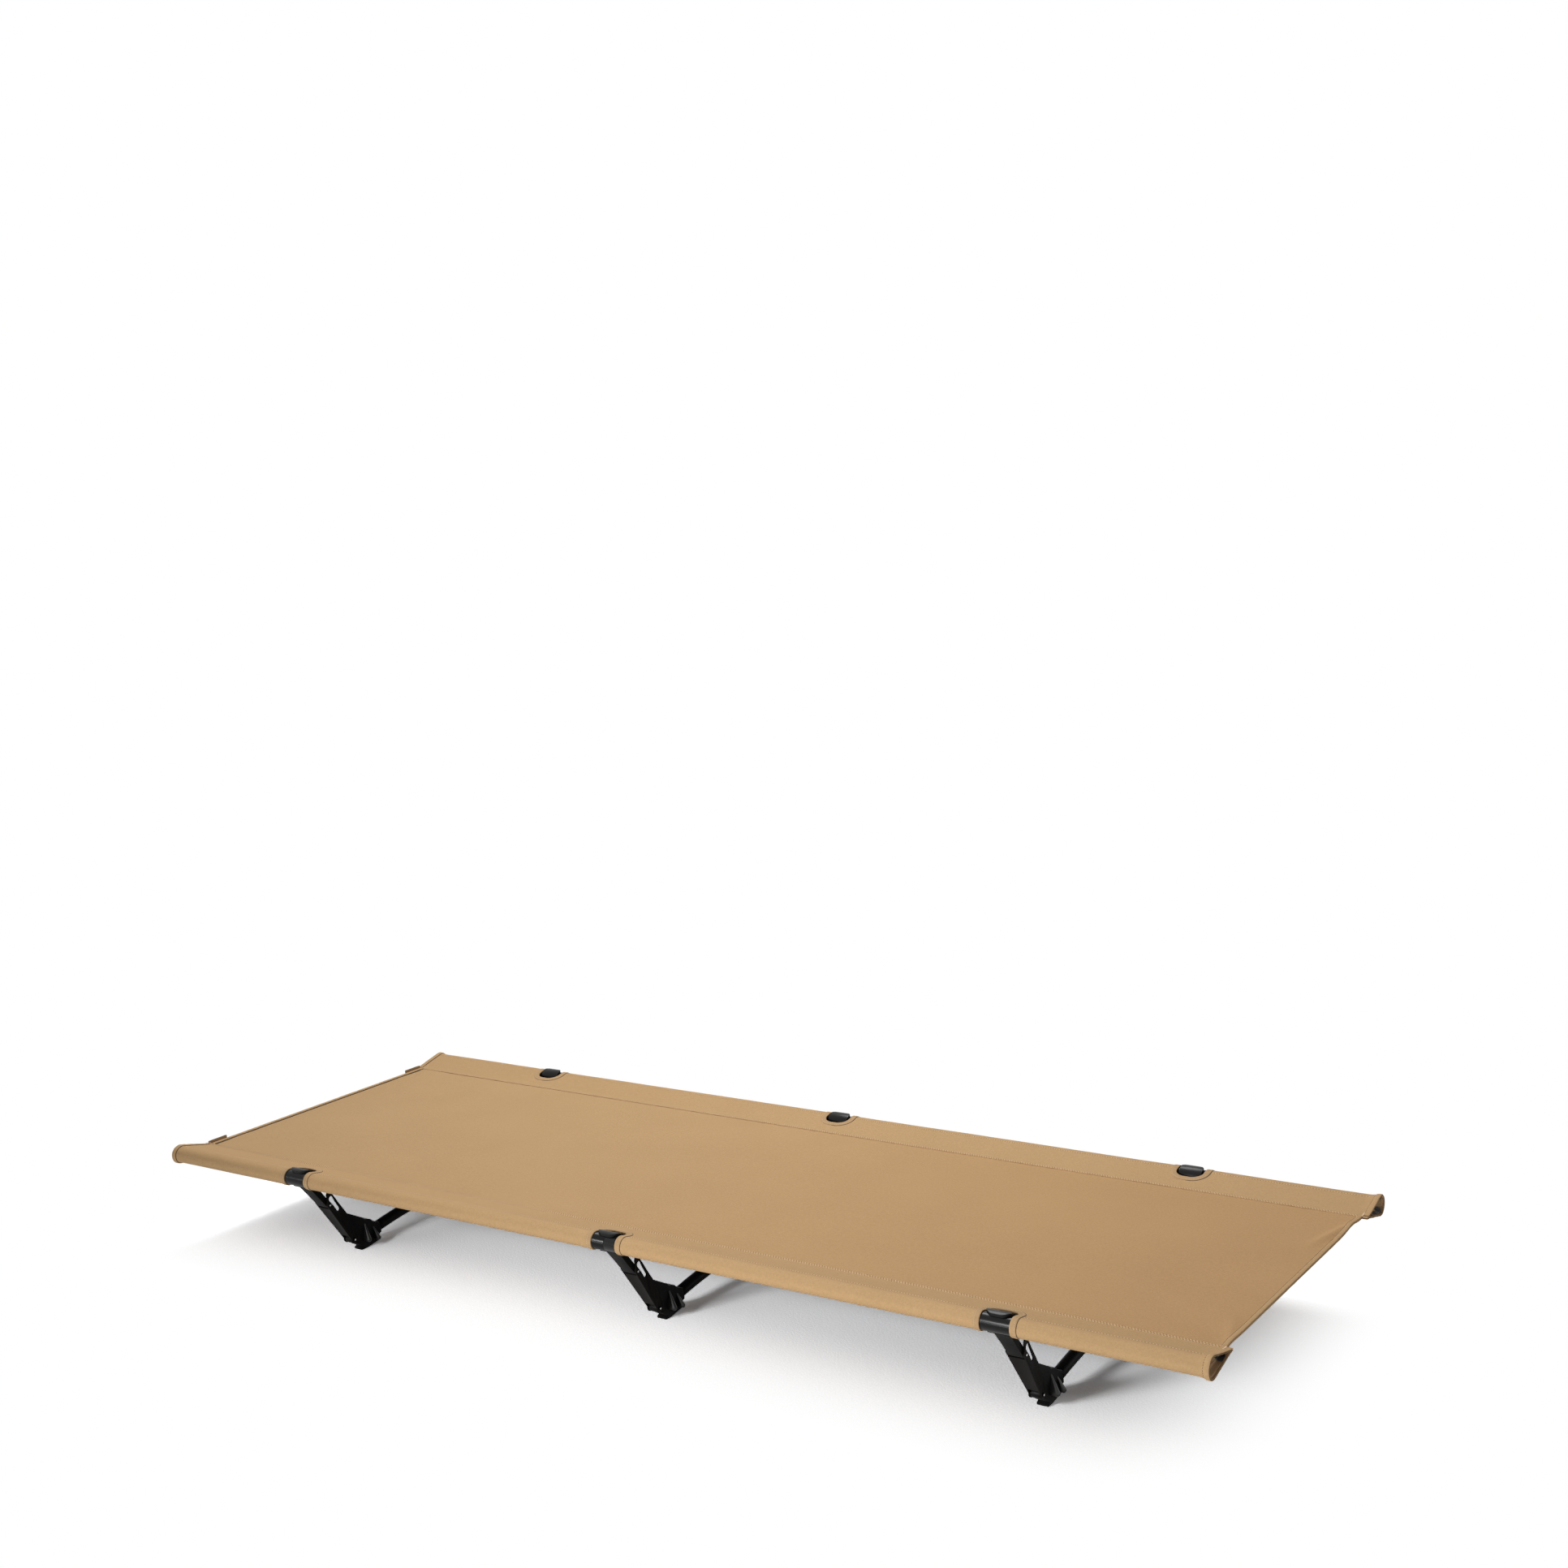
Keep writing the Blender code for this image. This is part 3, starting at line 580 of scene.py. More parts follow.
def cut_edge(centre):
    """The cut-out's edge on the flat strip, as (x, s, outward direction), by distance round it."""
    half_x = CUT_WIDTH / 2 - CUT_CORNER
    half_s = GIRTH / 2 - CUT_START - CUT_CORNER
    arc = CUT_CORNER * math.pi / 2
    sides = [((half_x, -half_s), 0.0, 2 * half_s), ((half_x, half_s), 90.0, 2 * half_x),
             ((-half_x, half_s), 180.0, 2 * half_s), ((-half_x, -half_s), 270.0, 2 * half_x)]
    total = 4 * (half_x + half_s) + 4 * arc

    def at(distance, aside):
        distance = distance % total
        for (x, s), turn, length in sides:
            out = Vector((math.cos(math.radians(turn)), math.sin(math.radians(turn))))
            way = Vector((-out.y, out.x))
            start = Vector((x, s))
            if distance <= length:
                place = start + way * distance + out * (CUT_CORNER + aside)
                return Vector((centre, GIRTH / 2)) + place
            distance -= length
            if distance <= arc:
                angle = math.radians(turn) + distance / CUT_CORNER
                spoke = Vector((math.cos(angle), math.sin(angle)))
                place = start + way * length + spoke * (CUT_CORNER + aside)
                return Vector((centre, GIRTH / 2)) + place
            distance -= arc
        return Vector((centre, GIRTH / 2)) + Vector((half_x + CUT_CORNER + aside, -half_s))

    return at, total


def open_ended(item, high):
    """Deletes the two end faces of a straight strip that is closed into a ring."""
    faces_deleted(item, lambda face: abs(face.normal.x) > 0.9
                  and min(abs(face.center.x), abs(face.center.x - high)) < 1e-5)


def welded(item, reach=2e-5):
    """Joins the points that meet at a seam."""
    edited(item, lambda: bpy.ops.mesh.remove_doubles(threshold=reach), outwards)


def merged(name, items):
    """Joins several pieces into one mesh."""
    bpy.ops.object.select_all(action="DESELECT")
    for item in items:
        item.select_set(True)
    bpy.context.view_layer.objects.active = items[0]
    bpy.ops.object.join()
    items[0].name = name
    return items[0]


def ring_strip(name, total, low, high, cell, thickness, soft=0.55):
    """A straight tape that will be laid round a closed edge, with soft long edges."""
    item = flat_strip(name, (0.0, low), (total, high), cell, thickness)
    open_ended(item, total)
    for vertex in item.data.vertices:
        place = (vertex.co.y - low) / (high - low)
        vertex.co.z *= 1.0 - soft + soft * math.sqrt(max(1.0 - (2.0 * place - 1.0) ** 4, 0.0))
    return item


binding_look = cloth_look("binding_tape", (0.455, 0.297, 0.155), (0.545, 0.360, 0.192), 20.0)
# One dark material serves the dark thread and also the painted shade strips along the bindings and the left
# hem.
thread_and_shade_dark, shader, wire = finish_of("dark_thread_and_painted_shade", 0.7, 0.0, 0.3)
spot = wire.node("ShaderNodeTexCoord", out="Object")
twist = spot.speckle(900.0, 1.0)
joined(shader, "Base Color", twist.tint((0.035, 0.022, 0.014), (0.10, 0.065, 0.04)))

for side, sign in SIDES:
    tapes = []
    edge_shadows = []
    for place, x in PLACES:
        at, total = cut_edge(x)
        tape = ring_strip("tape", total, -0.0006, BINDING, TAPE_CELL, CLOTH + 2 * BINDING_OVER, 0.3)
        lay_uv(tape)
        laid(tape, lambda spot: sewn((*at(spot.x, spot.y), spot.z), sign))
        welded(tape)
        tapes.append(tape)
        line = ring_strip("line", total, BINDING - 0.0003, BINDING + LINE_WIDTH, LINE_CELL,
                          CLOTH + 2 * LINE_OVER, 0.1)

        # Painted shadow: the strip stays thin on the left and stands thicker on the right side and at the
        # top right corner.
        def painted_shadow_line(spot):
            flat_x, flat_s = at(spot.x, spot.y)
            shown = eased((flat_x - x + 0.002) / 0.010)
            away = math.hypot(flat_x - x - LINE_THICK_SPOT[0], abs(flat_s - GIRTH / 2) - LINE_THICK_SPOT[1])
            corner = math.exp(-(away / LINE_THICK_REACH) ** 2)
            return sewn((flat_x, flat_s, spot.z * (0.3 + 0.7 * shown + 0.5 * corner)), sign)

        laid(line, painted_shadow_line)
        welded(line)
        edge_shadows.append(line)
    tapes = merged(f"cut_out_binding_{side}", tapes)
    smoothed(tapes, 50.0)
    coated(tapes, binding_look)
    edge_shadows = merged(f"cut_out_edge_shadow_{side}", edge_shadows)
    smoothed(edge_shadows, 50.0)
    coated(edge_shadows, thread_and_shade_dark)


# The sleeve mouths: the open ends are turned back over themselves as a soft rolled rim, stitched
# round, and a dark grey lining shows crumpled inside in front of the rail's plug.
RIM_WIDTH = 0.0080
RIM_OVER = 0.0011
EDGE_WIDTH = 0.0011
EDGE_OVER = 0.0008
EDGE_THINNING = 0.4
RIM_CELL = (0.0022, 0.0010)
EDGE_CELL = (0.0022, 0.0005)
LINING = 0.0004
LINING_START = 0.0025
LINING_DEEP = 0.0095
LINING_FOLD = 0.0040
LINING_RINGS = 20
FAN_FOLDS = 5.5
PHASES = {("near", "left"): 0.4, ("near", "right"): 2.6, ("far", "left"): 1.3, ("far", "right"): 1.0}

for side, sign in SIDES:
    parts = []
    edge = ring_strip("edge", GIRTH, -EDGE_WIDTH, 0.0004, EDGE_CELL, CLOTH + 2 * EDGE_OVER, 0.1)

    def beside_rim(spot):
        far_round = eased((min(spot.x, GIRTH - spot.x) - FLAT) / 0.012)
        height = spot.z * (1.0 - EDGE_THINNING * far_round)
        return sewn((-(LENGTH / 2 - RIM_WIDTH + spot.y), spot.x, height), sign)

    laid(edge, beside_rim)
    for turn in (-1, 1):
        rim = ring_strip("rim", GIRTH, 0.0, RIM_WIDTH, RIM_CELL, CLOTH + 2 * RIM_OVER, 0.25)
        lay_uv(rim)
        laid(rim, lambda spot: sewn((turn * (LENGTH / 2 - RIM_WIDTH + spot.y), spot.x, spot.z), sign))
        parts.append(rim)
    rim = merged(f"mouth_rim_{side}", parts)
    smoothed(rim, 50.0)
    coated(rim, cloth)
    edge.name = f"mouth_edge_{side}"
    smoothed(edge, 50.0)
    coated(edge, thread_and_shade_dark)

lining_look, shader, wire = finish_of("lining_cloth", 0.75, 0.0, 0.3)
spot = wire.node("ShaderNodeTexCoord", out="Object")
fleck = spot.speckle(700.0, 2.0)
shade = fleck.tint((0.045, 0.044, 0.046), (0.095, 0.092, 0.092))
bare = wire.node("ShaderNodeAttribute", {"attribute_name": "bare"}, out="Fac")
face = fleck.tint((0.40, 0.245, 0.120), (0.54, 0.340, 0.172))
# Painted shade: near black in the deepest folds, towards the seam and just inside the rim.
hollow = wire.node("ShaderNodeAttribute", {"attribute_name": "hollow"}, out="Fac")
joined(shader, "Base Color", hollow.tint(bare.tint(shade, face), (0.004, 0.004, 0.005)))
bumped(shader, wire, fleck, 0.5, 0.0002)


def fan(out, rise, phase):
    """The lining's folds, -1 to 1, which fan out from the seam, and how near the seam a place is."""
    turn = math.atan2(rise, out - APEX_OUT + 0.002)
    wander = noise.noise(Vector((out * 70.0, rise * 70.0, phase)))
    fold = math.sin(turn * FAN_FOLDS + 2.2 * wander + phase)
    return fold, 1.0 - eased((out - APEX_OUT - 0.012) / 0.035)


for side, sign in SIDES:
    for end, turn in (("left", -1), ("right", 1)):
        lining = flat_strip("pocket", (0.0, 0.0), (GIRTH, 1.0), (0.0017, 1.0 / LINING_RINGS), LINING)
        tints = {"bare": [], "hollow": []}
        for vertex in lining.data.vertices:
            s, inward, height = vertex.co
            inward = min(max(inward, 0.0), 1.0)
            x = turn * (LENGTH / 2 - LINING_START)
            rim = section(x, s) * 0.965 + Vector((RAIL_OUT, 0.0)) * 0.035
            core = Vector((min(max(rim.x, APEX_OUT + 0.008), RAIL_OUT), 0.0))
            place = rim + (core - rim) * inward
            fold, near_seam = fan(place.x, place.y, PHASES[side, end])
            depth = LINING_DEEP * eased(inward * 1.6)
            depth -= LINING_FOLD * (0.5 + 0.5 * fold) * eased(inward * 3.0)
            depth = min(max(depth, 0.0), LINING_DEEP + 0.0015)
            vertex.co = (x - turn * (depth + height), sign * place.x, RAIL_HEIGHT + place.y)
            tints["bare"].append(eased((fold - 0.05 - near_seam) / 0.5))
            # Painted shade: the deepest folds, the seam corner and a band just inside the rim.
            dark = max(eased((-0.1 - fold) / 0.4) * 0.85, near_seam ** 2)
            tints["hollow"].append(max(dark, 1.0 - eased(inward / 0.07)))
        for name, values in tints.items():
            lining.data.attributes.new(name, "FLOAT", "POINT").data.foreach_set("value", values)
        welded(lining)
        smoothed(lining, 60.0)
        lining.name = f"mouth_lining_{side}_{end}"
        coated(lining, lining_look)
        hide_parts(f"sleeve_cap_{side}_{end}")


# The bed: one taut sheet of the same cloth between the two sleeves, whose inner edges lap over
# and under it. Faint drag lines run in from the legs and the corners.
HEM_END = LENGTH / 2 - 0.008
HEM_WIDTH = 0.0095
SHEET_X = HEM_END - HEM_WIDTH + 0.0030
SHEET_Y = 0.2672
BED_CELL = (0.0051, 0.0047)
CREASES = (((0.9424, 0.2531), (0.915, 0.128), 0.0032), ((-0.9255, 0.2536), (-0.902, 0.150), -0.0020),
           ((-0.9200, 0.2510), (-0.885, 0.165), 0.0012), ((0.9400, -0.2560), (0.915, -0.170), 0.0012))
CREASE_WIDTH = 0.0042
BED_WAVE = 0.0008
BED_FINE_WAVE = 0.00018
BED_PUCKER = 0.00022
CORNER_FOLD = 0.00060
LEG_DRAG = 0.00022


def bed_height(x, y):
    """How far the bed's cloth lies off level."""
    edge = SEAM_OUT - abs(y)
    end = SHEET_X - abs(x)
    wave = noise.noise(Vector((x * 3.2, y * 4.5, 2.0))) * BED_WAVE
    wave += noise.noise(Vector((x * 9.0, y * 7.0, 5.0))) * BED_FINE_WAVE
    wave *= eased(edge / 0.05) * eased(end / 0.05)
    pucker = noise.noise(Vector((x * 120.0, y * 35.0, 1.0))) * BED_PUCKER * math.exp(-edge / 0.010)
    across = end * 0.55 - edge * 0.85
    corner = math.hypot(edge, end)
    fold = math.sin(across * 95.0 + 2.0 * noise.noise(Vector((x * 8.0, y * 8.0, 7.0))))
    fold *= CORNER_FOLD * math.exp(-corner / 0.09) * eased(edge / 0.006) * eased(end / 0.006)
    drag = 0.0
    for name, place in PLACES:
        spread = (x - place) / (0.030 + 0.9 * max(edge, 0.0))
        drag += math.cos(spread * 7.0) * math.exp(-spread * spread) * math.exp(-edge / 0.05)
    for start, stop, height in CREASES:
        first = Vector(start)
        way = Vector(stop) - first
        share = (Vector((x, y)) - first).dot(way) / way.length_squared
        aside = (Vector((x, y)) - first - way * share).length / (CREASE_WIDTH * (1.0 + max(share, 0.0)))
        if -0.1 < share < 1.3 and aside < 3.0:
            fading = eased((share + 0.05) / 0.1) * eased((1.3 - share) / 0.7)
            wave += height * math.exp(-aside * aside) * fading
    return wave + pucker + fold + drag * LEG_DRAG * eased(edge / 0.004)


bed = flat_strip("bed_cloth", (-SHEET_X, -SHEET_Y), (SHEET_X, SHEET_Y), BED_CELL, PANEL)
lay_uv(bed)
laid(bed, lambda spot: Vector((spot.x, spot.y, RAIL_HEIGHT + spot.z + bed_height(spot.x, spot.y))))
smoothed(bed, 45.0)
reverse = bed.data.attributes.new("reverse", "FLOAT", "FACE")
reverse.data.foreach_set("value", [float(face.normal.z < -0.5) for face in bed.data.polygons])
coated(bed, bed_look)
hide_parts("bed_panel")


# The end hems: the bed's ends are rolled over twice and stitched close to the inner fold, with
# a dark thread that sinks a narrow groove.
HEM_THICK = 0.0042
HEM_EDGE = 0.0034
HEM_HALF = 0.2632
GROOVE = 0.0017
GROOVE_DEEP = 0.00055
GROOVE_HALF = 0.0008
HEM_WAVE = 0.0003
HEM_CELL = (0.0050, 0.0008)
HEM_EDGE_CELL = (0.0050, 0.0005)

for end, turn in (("left", -1), ("right", 1)):
    hem = flat_strip("hem", (-HEM_HALF, 0.0), (HEM_HALF, HEM_WIDTH), HEM_CELL, HEM_THICK)

    def rolled(spot):
        y, w, height = spot
        share = 2.0 * w / HEM_WIDTH - 1.0
        round_off = math.sqrt(max(1.0 - abs(share) ** 5, 0.0)) * 0.75 + 0.25
        sunk = GROOVE_DEEP * math.exp(-((w - GROOVE) / GROOVE_HALF) ** 2)
        pucker = 1.0 + 0.16 * noise.noise(Vector((y * 140.0, w * 60.0, turn)))
        wave = noise.noise(Vector((y * 6.0, turn * 3.0, 0.0))) * HEM_WAVE
        lift = math.copysign(max(abs(height) * round_off * pucker - sunk, 0.0002), height)
        lift += bed_height(turn * SHEET_X, y)
        place = HEM_END - HEM_WIDTH + w + wave * share
        return Vector((turn * place, y, RAIL_HEIGHT + lift))

    lay_uv(hem)
    laid(hem, rolled)
    smoothed(hem, 50.0)
    hem.name = f"rolled_hem_{end}"
    coated(hem, cloth)
    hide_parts(f"end_hem_{end}")

# Painted shade: a dark strip along the left hem's inner edge stands for the shadowed gap under its folded
# edge.
hem_gap_shade = flat_strip("hem_gap_shade", (-HEM_HALF, -EDGE_WIDTH), (HEM_HALF, 0.0004), HEM_EDGE_CELL, HEM_EDGE)
laid(hem_gap_shade, lambda spot: Vector((-(HEM_END - HEM_WIDTH + spot.y), spot.x,
                                    RAIL_HEIGHT + spot.z + bed_height(-SHEET_X, spot.x))))
smoothed(hem_gap_shade, 50.0)
coated(hem_gap_shade, thread_and_shade_dark)


# The stitching: tan polyester thread, two close rows through sleeve and bed at each seam above
# and below, one along the top of each rail, and fine rows on the bindings, rims and hems.
PITCH = 0.0044
STITCH = 0.0025
THREAD = 0.0010
HOLE = 0.0009
HOLE_THICK = 0.0004
TACK_RUN = (-0.004, 0.010)
TACK_PITCH = 0.0011
TACK_THICK = 0.0009
TACK_WIDE = 0.0030
SEAM_ROWS = (-0.0042, -0.0005)
THREAD_LIFT = 0.0001
BINDING_ROW = BINDING * 0.72
BINDING_STITCH = (0.0026, 0.0018, 0.0005)
HEM_ROW_END = 0.002
HEM_ROW_SUNK = 0.0003
HEM_STITCH = (0.0034, 0.0026, 0.0006)
RIM_ROW = -0.0007
RIM_ROW_END = 0.004
RIM_STITCH = (0.0032, 0.0022, 0.0006)
ROW_ENDS = 0.012

thread_look, shader, wire = finish_of("tan_thread", 0.6, 0.0, 0.35)
spot = wire.node("ShaderNodeTexCoord", out="Object")
twist = spot.speckle(1100.0, 1.0)
joined(shader, "Base Color", twist.tint((0.68, 0.48, 0.285), (0.84, 0.63, 0.41)))

# Painted shade: dark beads between the stitches stand for the shaded pits where the thread goes through the
# cloth.
hole_shade_look, shader, wire = finish_of("needle_hole", 0.9, 0.0, 0.05)
spot = wire.node("ShaderNodeTexCoord", out="Object")
pit_mottle = spot.speckle(500.0, 1.0)
joined(shader, "Base Color", pit_mottle.tint((0.10, 0.060, 0.028), (0.26, 0.16, 0.08)))


def stitches(start, stop, across, height, pitch=PITCH, length=STITCH, thick=THREAD, wide=None, rings=4):
    """A straight row of stitches on the cutting table, from one distance to another."""
    bpy.ops.object.select_all(action="DESELECT")
    bpy.ops.mesh.primitive_uv_sphere_add(segments=6, ring_count=rings, radius=0.5,
                                         location=(start + length / 2, across, height),
                                         rotation=(0.0, math.pi / 2, 0.0))
    row = bpy.context.object
    row.scale = (thick * 0.8, wide or thick, length)
    applied(row, "row")
    count = max(int((stop - start) / pitch), 1)
    modified(row, "ARRAY", count=count, use_relative_offset=False, use_constant_offset=True,
             constant_offset_displace=(pitch, 0.0, 0.0))
    return row


def spans(margin, end):
    """The stretches of rail between the cut-outs."""
    marks = [-end] + [x + turn * margin for name, x in PLACES for turn in (-1, 1)] + [end]
    return list(zip(marks[::2], marks[1::2]))


threads = {}
stitch_hole_shades = {}
for side, sign in SIDES:
    rows = []
    holes = []
    runs = []
    for i, s in enumerate(SEAM_ROWS):
        for across in (s, GIRTH - s):
            runs.append((-LENGTH / 2 + ROW_ENDS + i * PITCH / 2, LENGTH / 2 - ROW_ENDS, across))
    for start, stop in spans(CUT_WIDTH / 2 + BINDING + 0.002, LENGTH / 2 - RIM_WIDTH - 0.003):
        runs.append((start, stop, ROW_S))
    for start, stop, across in runs:
        row = stitches(start, stop, across, CLOTH / 2 + THREAD_LIFT)
        laid(row, lambda spot: sewn(spot, sign))
        rows.append(row)
        row = stitches(start + STITCH, stop, across, CLOTH / 2, length=PITCH - STITCH,
                       thick=HOLE_THICK, wide=HOLE, rings=3)
        laid(row, lambda spot: sewn(spot, sign))
        holes.append(row)
    for turn in (-1, 1):
        row = stitches(*TACK_RUN, 0.0, CLOTH / 2 + RIM_OVER, TACK_PITCH, TACK_PITCH * 0.8,
                       TACK_THICK, TACK_WIDE)
        start = LENGTH / 2 - RIM_WIDTH - 0.0004
        laid(row, lambda spot: sewn((turn * (start + spot.y), spot.x, spot.z), sign))
        rows.append(row)
    for place, x in PLACES:
        at, total = cut_edge(x)
        row = stitches(0.0, total, BINDING_ROW, CLOTH / 2 + BINDING_OVER, *BINDING_STITCH)
        laid(row, lambda spot: sewn((*at(spot.x, spot.y), spot.z), sign))
        rows.append(row)
    threads[side] = merged(f"seam_thread_{side}", rows)
    smoothed(threads[side], 60.0)
    coated(threads[side], thread_look)
    stitch_hole_shades[side] = merged(f"stitch_hole_shades_{side}", holes)
    smoothed(stitch_hole_shades[side], 60.0)
    coated(stitch_hole_shades[side], hole_shade_look)

dark_rows = []
for turn in (-1, 1):
    row = stitches(-HEM_HALF + HEM_ROW_END, HEM_HALF - HEM_ROW_END, GROOVE,
                   HEM_THICK / 2 - HEM_ROW_SUNK, *HEM_STITCH)
    laid(row, lambda spot: Vector((turn * (HEM_END - HEM_WIDTH + spot.y), spot.x,
                                   RAIL_HEIGHT + spot.z + bed_height(turn * SHEET_X, spot.x))))
    dark_rows.append(row)
    for side, sign in SIDES:
        row = stitches(RIM_ROW_END, GIRTH - RIM_ROW_END, RIM_ROW, CLOTH / 2 + THREAD_LIFT, *RIM_STITCH)
        laid(row, lambda spot: sewn((turn * (LENGTH / 2 - RIM_WIDTH + spot.y), spot.x, spot.z), sign))
        dark_rows.append(row)
rim_thread = merged("end_thread", dark_rows)
smoothed(rim_thread, 60.0)
coated(rim_thread, thread_and_shade_dark)


# The pull tabs: a doubled loop of narrow woven tape at each corner of the left end, sewn just
# outside the hem, for drawing the sling over the rails.
TAB_LENGTH = 0.040
TAB_HEIGHT = 0.011
TAB_TAPE = 0.0011
TAB_FOLD = 0.0046
TAB_SWAY = 0.0008
TAB_CELL = (0.0010, 0.0011)

tab_look = cloth_look("tab_webbing", (0.32, 0.215, 0.12), (0.43, 0.29, 0.165), 30.0)
half_gap = (TAB_FOLD - TAB_TAPE) / 2
leg_run = TAB_LENGTH - TAB_FOLD / 2
bend = math.pi * half_gap
for side, sign in SIDES:
    total = 2 * leg_run + bend
    tab = flat_strip("tab", (0.0, -TAB_HEIGHT / 2), (total, TAB_HEIGHT / 2), TAB_CELL, TAB_TAPE)

    def looped(spot):
        along, across, height = spot
        gap = half_gap * (0.4 + 0.6 * eased(min(along, total - along) / 0.012))
        if along < leg_run:
            place = Vector((along, gap + height))
        elif along > leg_run + bend:
            place = Vector((total - along, -gap - height))
        else:
            angle = math.pi / 2 - (along - leg_run) / half_gap
            place = Vector((leg_run + (gap + height) * math.cos(angle), (gap + height) * math.sin(angle)))
        sway = TAB_SWAY * math.sin(place.x * 70.0)
        return Vector((-(HEM_END + GAP + TAB_FOLD / 2) + place.y + sway,
                       sign * (SEAM_OUT - GAP - place.x), RAIL_HEIGHT + across))

    lay_uv(tab)
    laid(tab, looped)
    smoothed(tab, 50.0)
    tab.name = f"tape_loop_{side}"
    coated(tab, tab_look)
    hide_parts(f"pull_tab_{side}")

for side, sign in SIDES:
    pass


# The bow legs: three shallow arches of black anodised tube under the bed, each of two halves
# that meet in the middle on a hidden ferrule and end in the moulded feet.
BOW_R = 0.0093
BOW_WALL = 0.0013
BOW_CROWN = 0.041
BOW_RADIUS = 0.89
BOW_REACH = 0.161
BOW_GAP = 0.0004

bow_look, shader, wire = finish_of("matt_black_tube", 0.42, 0.0, 0.08)
spot = wire.node("ShaderNodeTexCoord", out="Object")
cloudy = spot.speckle(14.0, 3.0)
joined(shader, "Base Color", cloudy.tint((0.0075, 0.0067, 0.0064), (0.0105, 0.0095, 0.0091)))
joined(shader, "Roughness", 0.38 + 0.1 * cloudy)

for place, x in PLACES:
    for side, sign in SIDES:
        first = math.asin(BOW_GAP / BOW_RADIUS)
        last = math.asin(BOW_REACH / BOW_RADIUS)
        bpy.ops.object.select_all(action="DESELECT")
        bpy.ops.mesh.primitive_circle_add(vertices=40, radius=BOW_R, rotation=(math.pi / 2, 0.0, 0.0),
                                          location=(x, sign * BOW_GAP, BOW_CROWN))
        bow = applied(bpy.context.object, f"bow_tube_{side}_{place}")
        centre = (x, 0.0, BOW_CROWN - BOW_RADIUS)
        edited(bow, lambda: bpy.ops.mesh.spin(steps=20, angle=sign * (last - first), center=centre,
                                              axis=(-1.0, 0.0, 0.0)))
        welded(bow, 1e-6)
        modified(bow, "SOLIDIFY", thickness=BOW_WALL, offset=-1.0)
        modified(bow, "BEVEL", width=0.0003, segments=2, limit_method="ANGLE",
                 angle_limit=math.radians(60))
        smoothed(bow)
        coated(bow, bow_look)
        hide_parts(f"bow_{side}_{place}")


# The moulded feet: glass-filled nylon hubs that hold each bow's end and carry the lever's pin.
# Black, finely grained from the mould, with eased edges. Four splayed ribs stiffen each foot.
COAT_ROUGHNESS = 0.30
EASED_FROM = 32.0
HUB_EASE = 0.0004
RIB_TOP_R = 0.0012
RIB_BOTTOM_R = 0.0042
RIB_ROOT = 0.0070
RIBS = (((0.0085, 0.1985, 0.0440), (0.0188, 0.2000, 0.0180)),
        ((0.0085, 0.1790, 0.0320), (0.0150, 0.1740, 0.0125)))


def moulding(name, roughness, specular, grain, dark, pale):
    """Moulded black nylon with a fine grain."""
    made, shader, wire = finish_of(name, roughness, 0.0, specular)
    spot = wire.node("ShaderNodeTexCoord", out="Object")
    fine = spot.speckle(1500.0, 2.0)
    broad = spot.speckle(60.0, 3.0)
    joined(shader, "Base Color", broad.tint(dark, pale))
    joined(shader, "Roughness", roughness - 0.05 + 0.1 * broad)
    sheen = wire.node("ShaderNodeAttribute", {"attribute_name": "sheen"}, out="Fac")
    joined(shader, "Coat Weight", sheen)
    shader.inputs["Coat Roughness"].default_value = COAT_ROUGHNESS
    bumped(shader, wire, fine, grain, 0.00006)
    return made


def recast(node, ease, segments=2):
    """A copy of a CAD solid, welded, with its flats made whole and its edges eased."""
    item = bpy.data.objects.new("casting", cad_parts[node].data.copy())
    bpy.context.scene.collection.objects.link(item)
    edited(item, lambda: bpy.ops.mesh.remove_doubles(threshold=2e-6),
           lambda: bpy.ops.mesh.dissolve_limited(angle_limit=math.radians(0.5)), outwards)
    modified(item, "BEVEL", width=ease, segments=segments, limit_method="ANGLE",
             angle_limit=math.radians(EASED_FROM), use_clamp_overlap=True, harden_normals=False)
    smoothed(item, EASED_FROM)
    return item


def at_legs(model, look, stem, body, node):
    """Copies the near middle leg's piece to all six legs, mirrored on the far side."""
    for side, sign in SIDES:
        for place, x in PLACES:
            copy = bpy.data.objects.new(f"{stem}_{side}_{place}", model.data.copy())
            bpy.context.scene.collection.objects.link(copy)
            if sign > 0:
                copy.data.transform(Matrix.Scale(-1.0, 4, (0.0, 1.0, 0.0)))
                copy.data.flip_normals()
            copy.data.transform(Matrix.Translation((x, 0.0, 0.0)))
            coated(copy, look, f"{body}_{side}_{place}" if body != "frame" else body)
            if node:
                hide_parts(f"{node}_{side}_{place}")
    bpy.data.objects.remove(model, do_unlink=True)


def glossy(item, share):
    """Marks how far each vertex has the polish that a mould's smooth part leaves."""
    values = [share(vertex.co) for vertex in item.data.vertices]
    item.data.attributes.new("sheen", "FLOAT", "POINT").data.foreach_set("value", values)


def splayed_rib(turn, top, bottom):
    """A cone on one cheek of the foot: the hull of a small ball above and two larger ones below."""
    balls = []
    for place, radius in ((top, RIB_TOP_R), (bottom, RIB_BOTTOM_R), ((RIB_ROOT, *bottom[1:]), RIB_BOTTOM_R)):
        x, out, height = place
        bpy.ops.object.select_all(action="DESELECT")
        bpy.ops.mesh.primitive_uv_sphere_add(segments=24, ring_count=12, radius=radius,
                                             location=(turn * x, -out, height))
        balls.append(applied(bpy.context.object, "ball"))
    rib = merged("rib", balls)
    edited(rib, bpy.ops.mesh.convex_hull)
    glossy(rib, lambda spot: 1.0)
    return rib


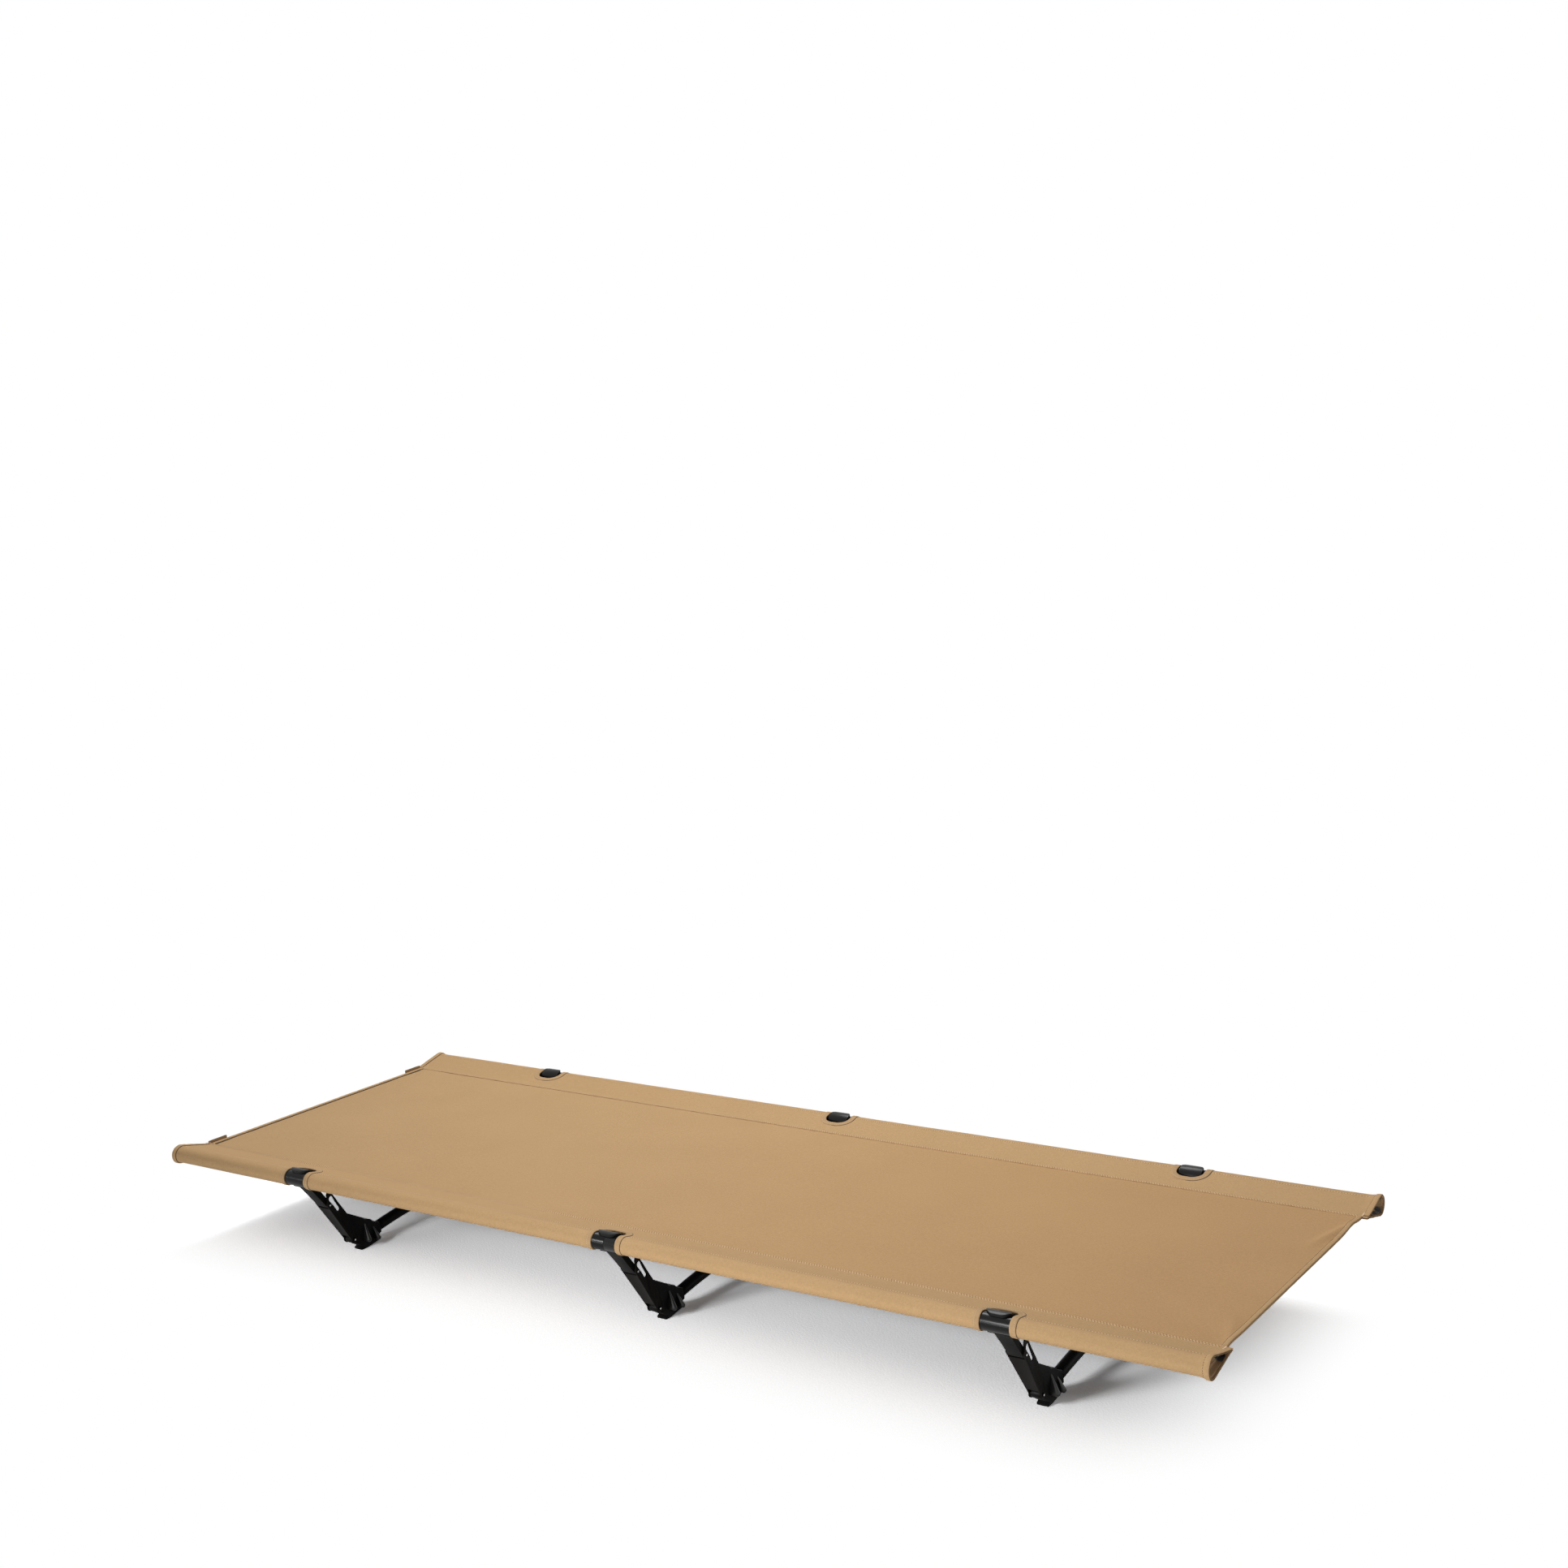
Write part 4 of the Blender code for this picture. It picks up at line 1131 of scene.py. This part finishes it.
hub_look = moulding("nylon_foot", 0.40, 0.09, 0.4, (0.0050, 0.0045, 0.0043), (0.0075, 0.0068, 0.0065))
hub = recast("foot_hub_near_middle", HUB_EASE)
glossy(hub, lambda spot: 0.0)
hub = merged("hub", [hub] + [splayed_rib(turn, *rib) for turn in (-1, 1) for rib in RIBS])
smoothed(hub, EASED_FROM)
at_legs(hub, hub_look, "moulded_foot", "frame", "foot_hub")


# The lower pins: turned steel, pressed through lever and foot, with a low domed head at both
# ends whose middle is left bright.
PIVOT = (0.2243, 0.0244)
PIN_R = 0.0025
PIN_HEAD_R = 0.0029
PIN_REACH = 0.0099
PIN_HEAD = 0.0011
PIN_END_R = 0.0017
PIN_END_RISE = 0.0004

steel_look, shader, wire = finish_of("turned_steel", 0.22, 1.0)
spot = wire.node("ShaderNodeTexCoord", out="Object")
turned = spot.speckle(1200.0, 2.0)
bright = wire.node("ShaderNodeAttribute", {"attribute_name": "bright"}, out="Fac")
steel = turned.tint((0.82, 0.82, 0.81), (0.94, 0.94, 0.93))
joined(shader, "Base Color", bright.tint((0.012, 0.011, 0.011), steel))
joined(shader, "Roughness", 0.16 + 0.14 * turned)


def pin(out, height, radius, reach, head_radius, head):
    """A pin along X on the near middle leg, with a low domed head on each end."""
    bpy.ops.object.select_all(action="DESELECT")
    bpy.ops.mesh.primitive_cylinder_add(vertices=24, radius=radius, depth=2 * reach,
                                        location=(0.0, -out, height), rotation=(0.0, math.pi / 2, 0.0))
    shank = applied(bpy.context.object, "pin")
    parts = [shank]
    for turn in (-1, 1):
        for wide, deep in ((head_radius, head), (PIN_END_R, head + PIN_END_RISE)):
            bpy.ops.object.select_all(action="DESELECT")
            bpy.ops.mesh.primitive_cylinder_add(vertices=24, radius=wide, depth=deep,
                                                location=(turn * (reach + deep / 2), -out, height),
                                                rotation=(0.0, math.pi / 2, 0.0))
            cap = applied(bpy.context.object, "head")
            modified(cap, "BEVEL", width=deep * 0.4, segments=3, limit_method="ANGLE",
                     angle_limit=math.radians(50))
            parts.append(cap)
    whole = merged("pin", parts)
    far = [math.hypot(vertex.co.y + out, vertex.co.z - height) for vertex in whole.data.vertices]
    shares = [float(distance < PIN_END_R + 0.00005) for distance in far]
    whole.data.attributes.new("bright", "FLOAT", "POINT").data.foreach_set("value", shares)
    smoothed(whole, 40.0)
    return whole


lower_pin = pin(*PIVOT, PIN_R, PIN_REACH, PIN_HEAD_R, PIN_HEAD)
at_legs(lower_pin, steel_look, "pivot_pin", "frame", "lower_pin")


# The tension levers: moulded nylon channels with two ears and a keyhole, swinging on the lower
# pin. Their steel upper pin pulls the hook down, past the line of the pull, so that it locks.
UPPER = (0.27836, 0.1030)
UPPER_R = PIN_R + 0.00006
UPPER_REACH = 0.0140
UPPER_HEAD = 0.0006
LEVER_EASE = 0.0005

lever_look = moulding("nylon_lever", 0.42, 0.06, 0.5, (0.0065, 0.0056, 0.0050), (0.0105, 0.0091, 0.0082))
lever = recast("tension_lever_near_middle", LEVER_EASE)
at_legs(lever, lever_look, "channel_lever", "lever", "tension_lever")
upper_pin = pin(*UPPER, UPPER_R, UPPER_REACH, UPPER_R, UPPER_HEAD)
at_legs(upper_pin, steel_look, "upper_pin", "lever", None)


# The rail hooks: moulded clips that snap over the rail, with a glossy rounded tongue on top and
# a tapered stem that bears on the lever's upper pin.
TONGUE_START = RAIL_HEIGHT + 0.006
TONGUE_SHEEN = 0.30
HOOK_EASE = 0.0007

hook_look = moulding("nylon_hook", 0.40, 0.035, 0.3, (0.0055, 0.0050, 0.0048), (0.0085, 0.0077, 0.0074))
hook = recast("rail_hook_near_middle", HOOK_EASE, 3)
glossy(hook, lambda spot: TONGUE_SHEEN * eased((spot.z - TONGUE_START) / 0.003))
at_legs(hook, hook_look, "clip_hook", "hook", "rail_hook")
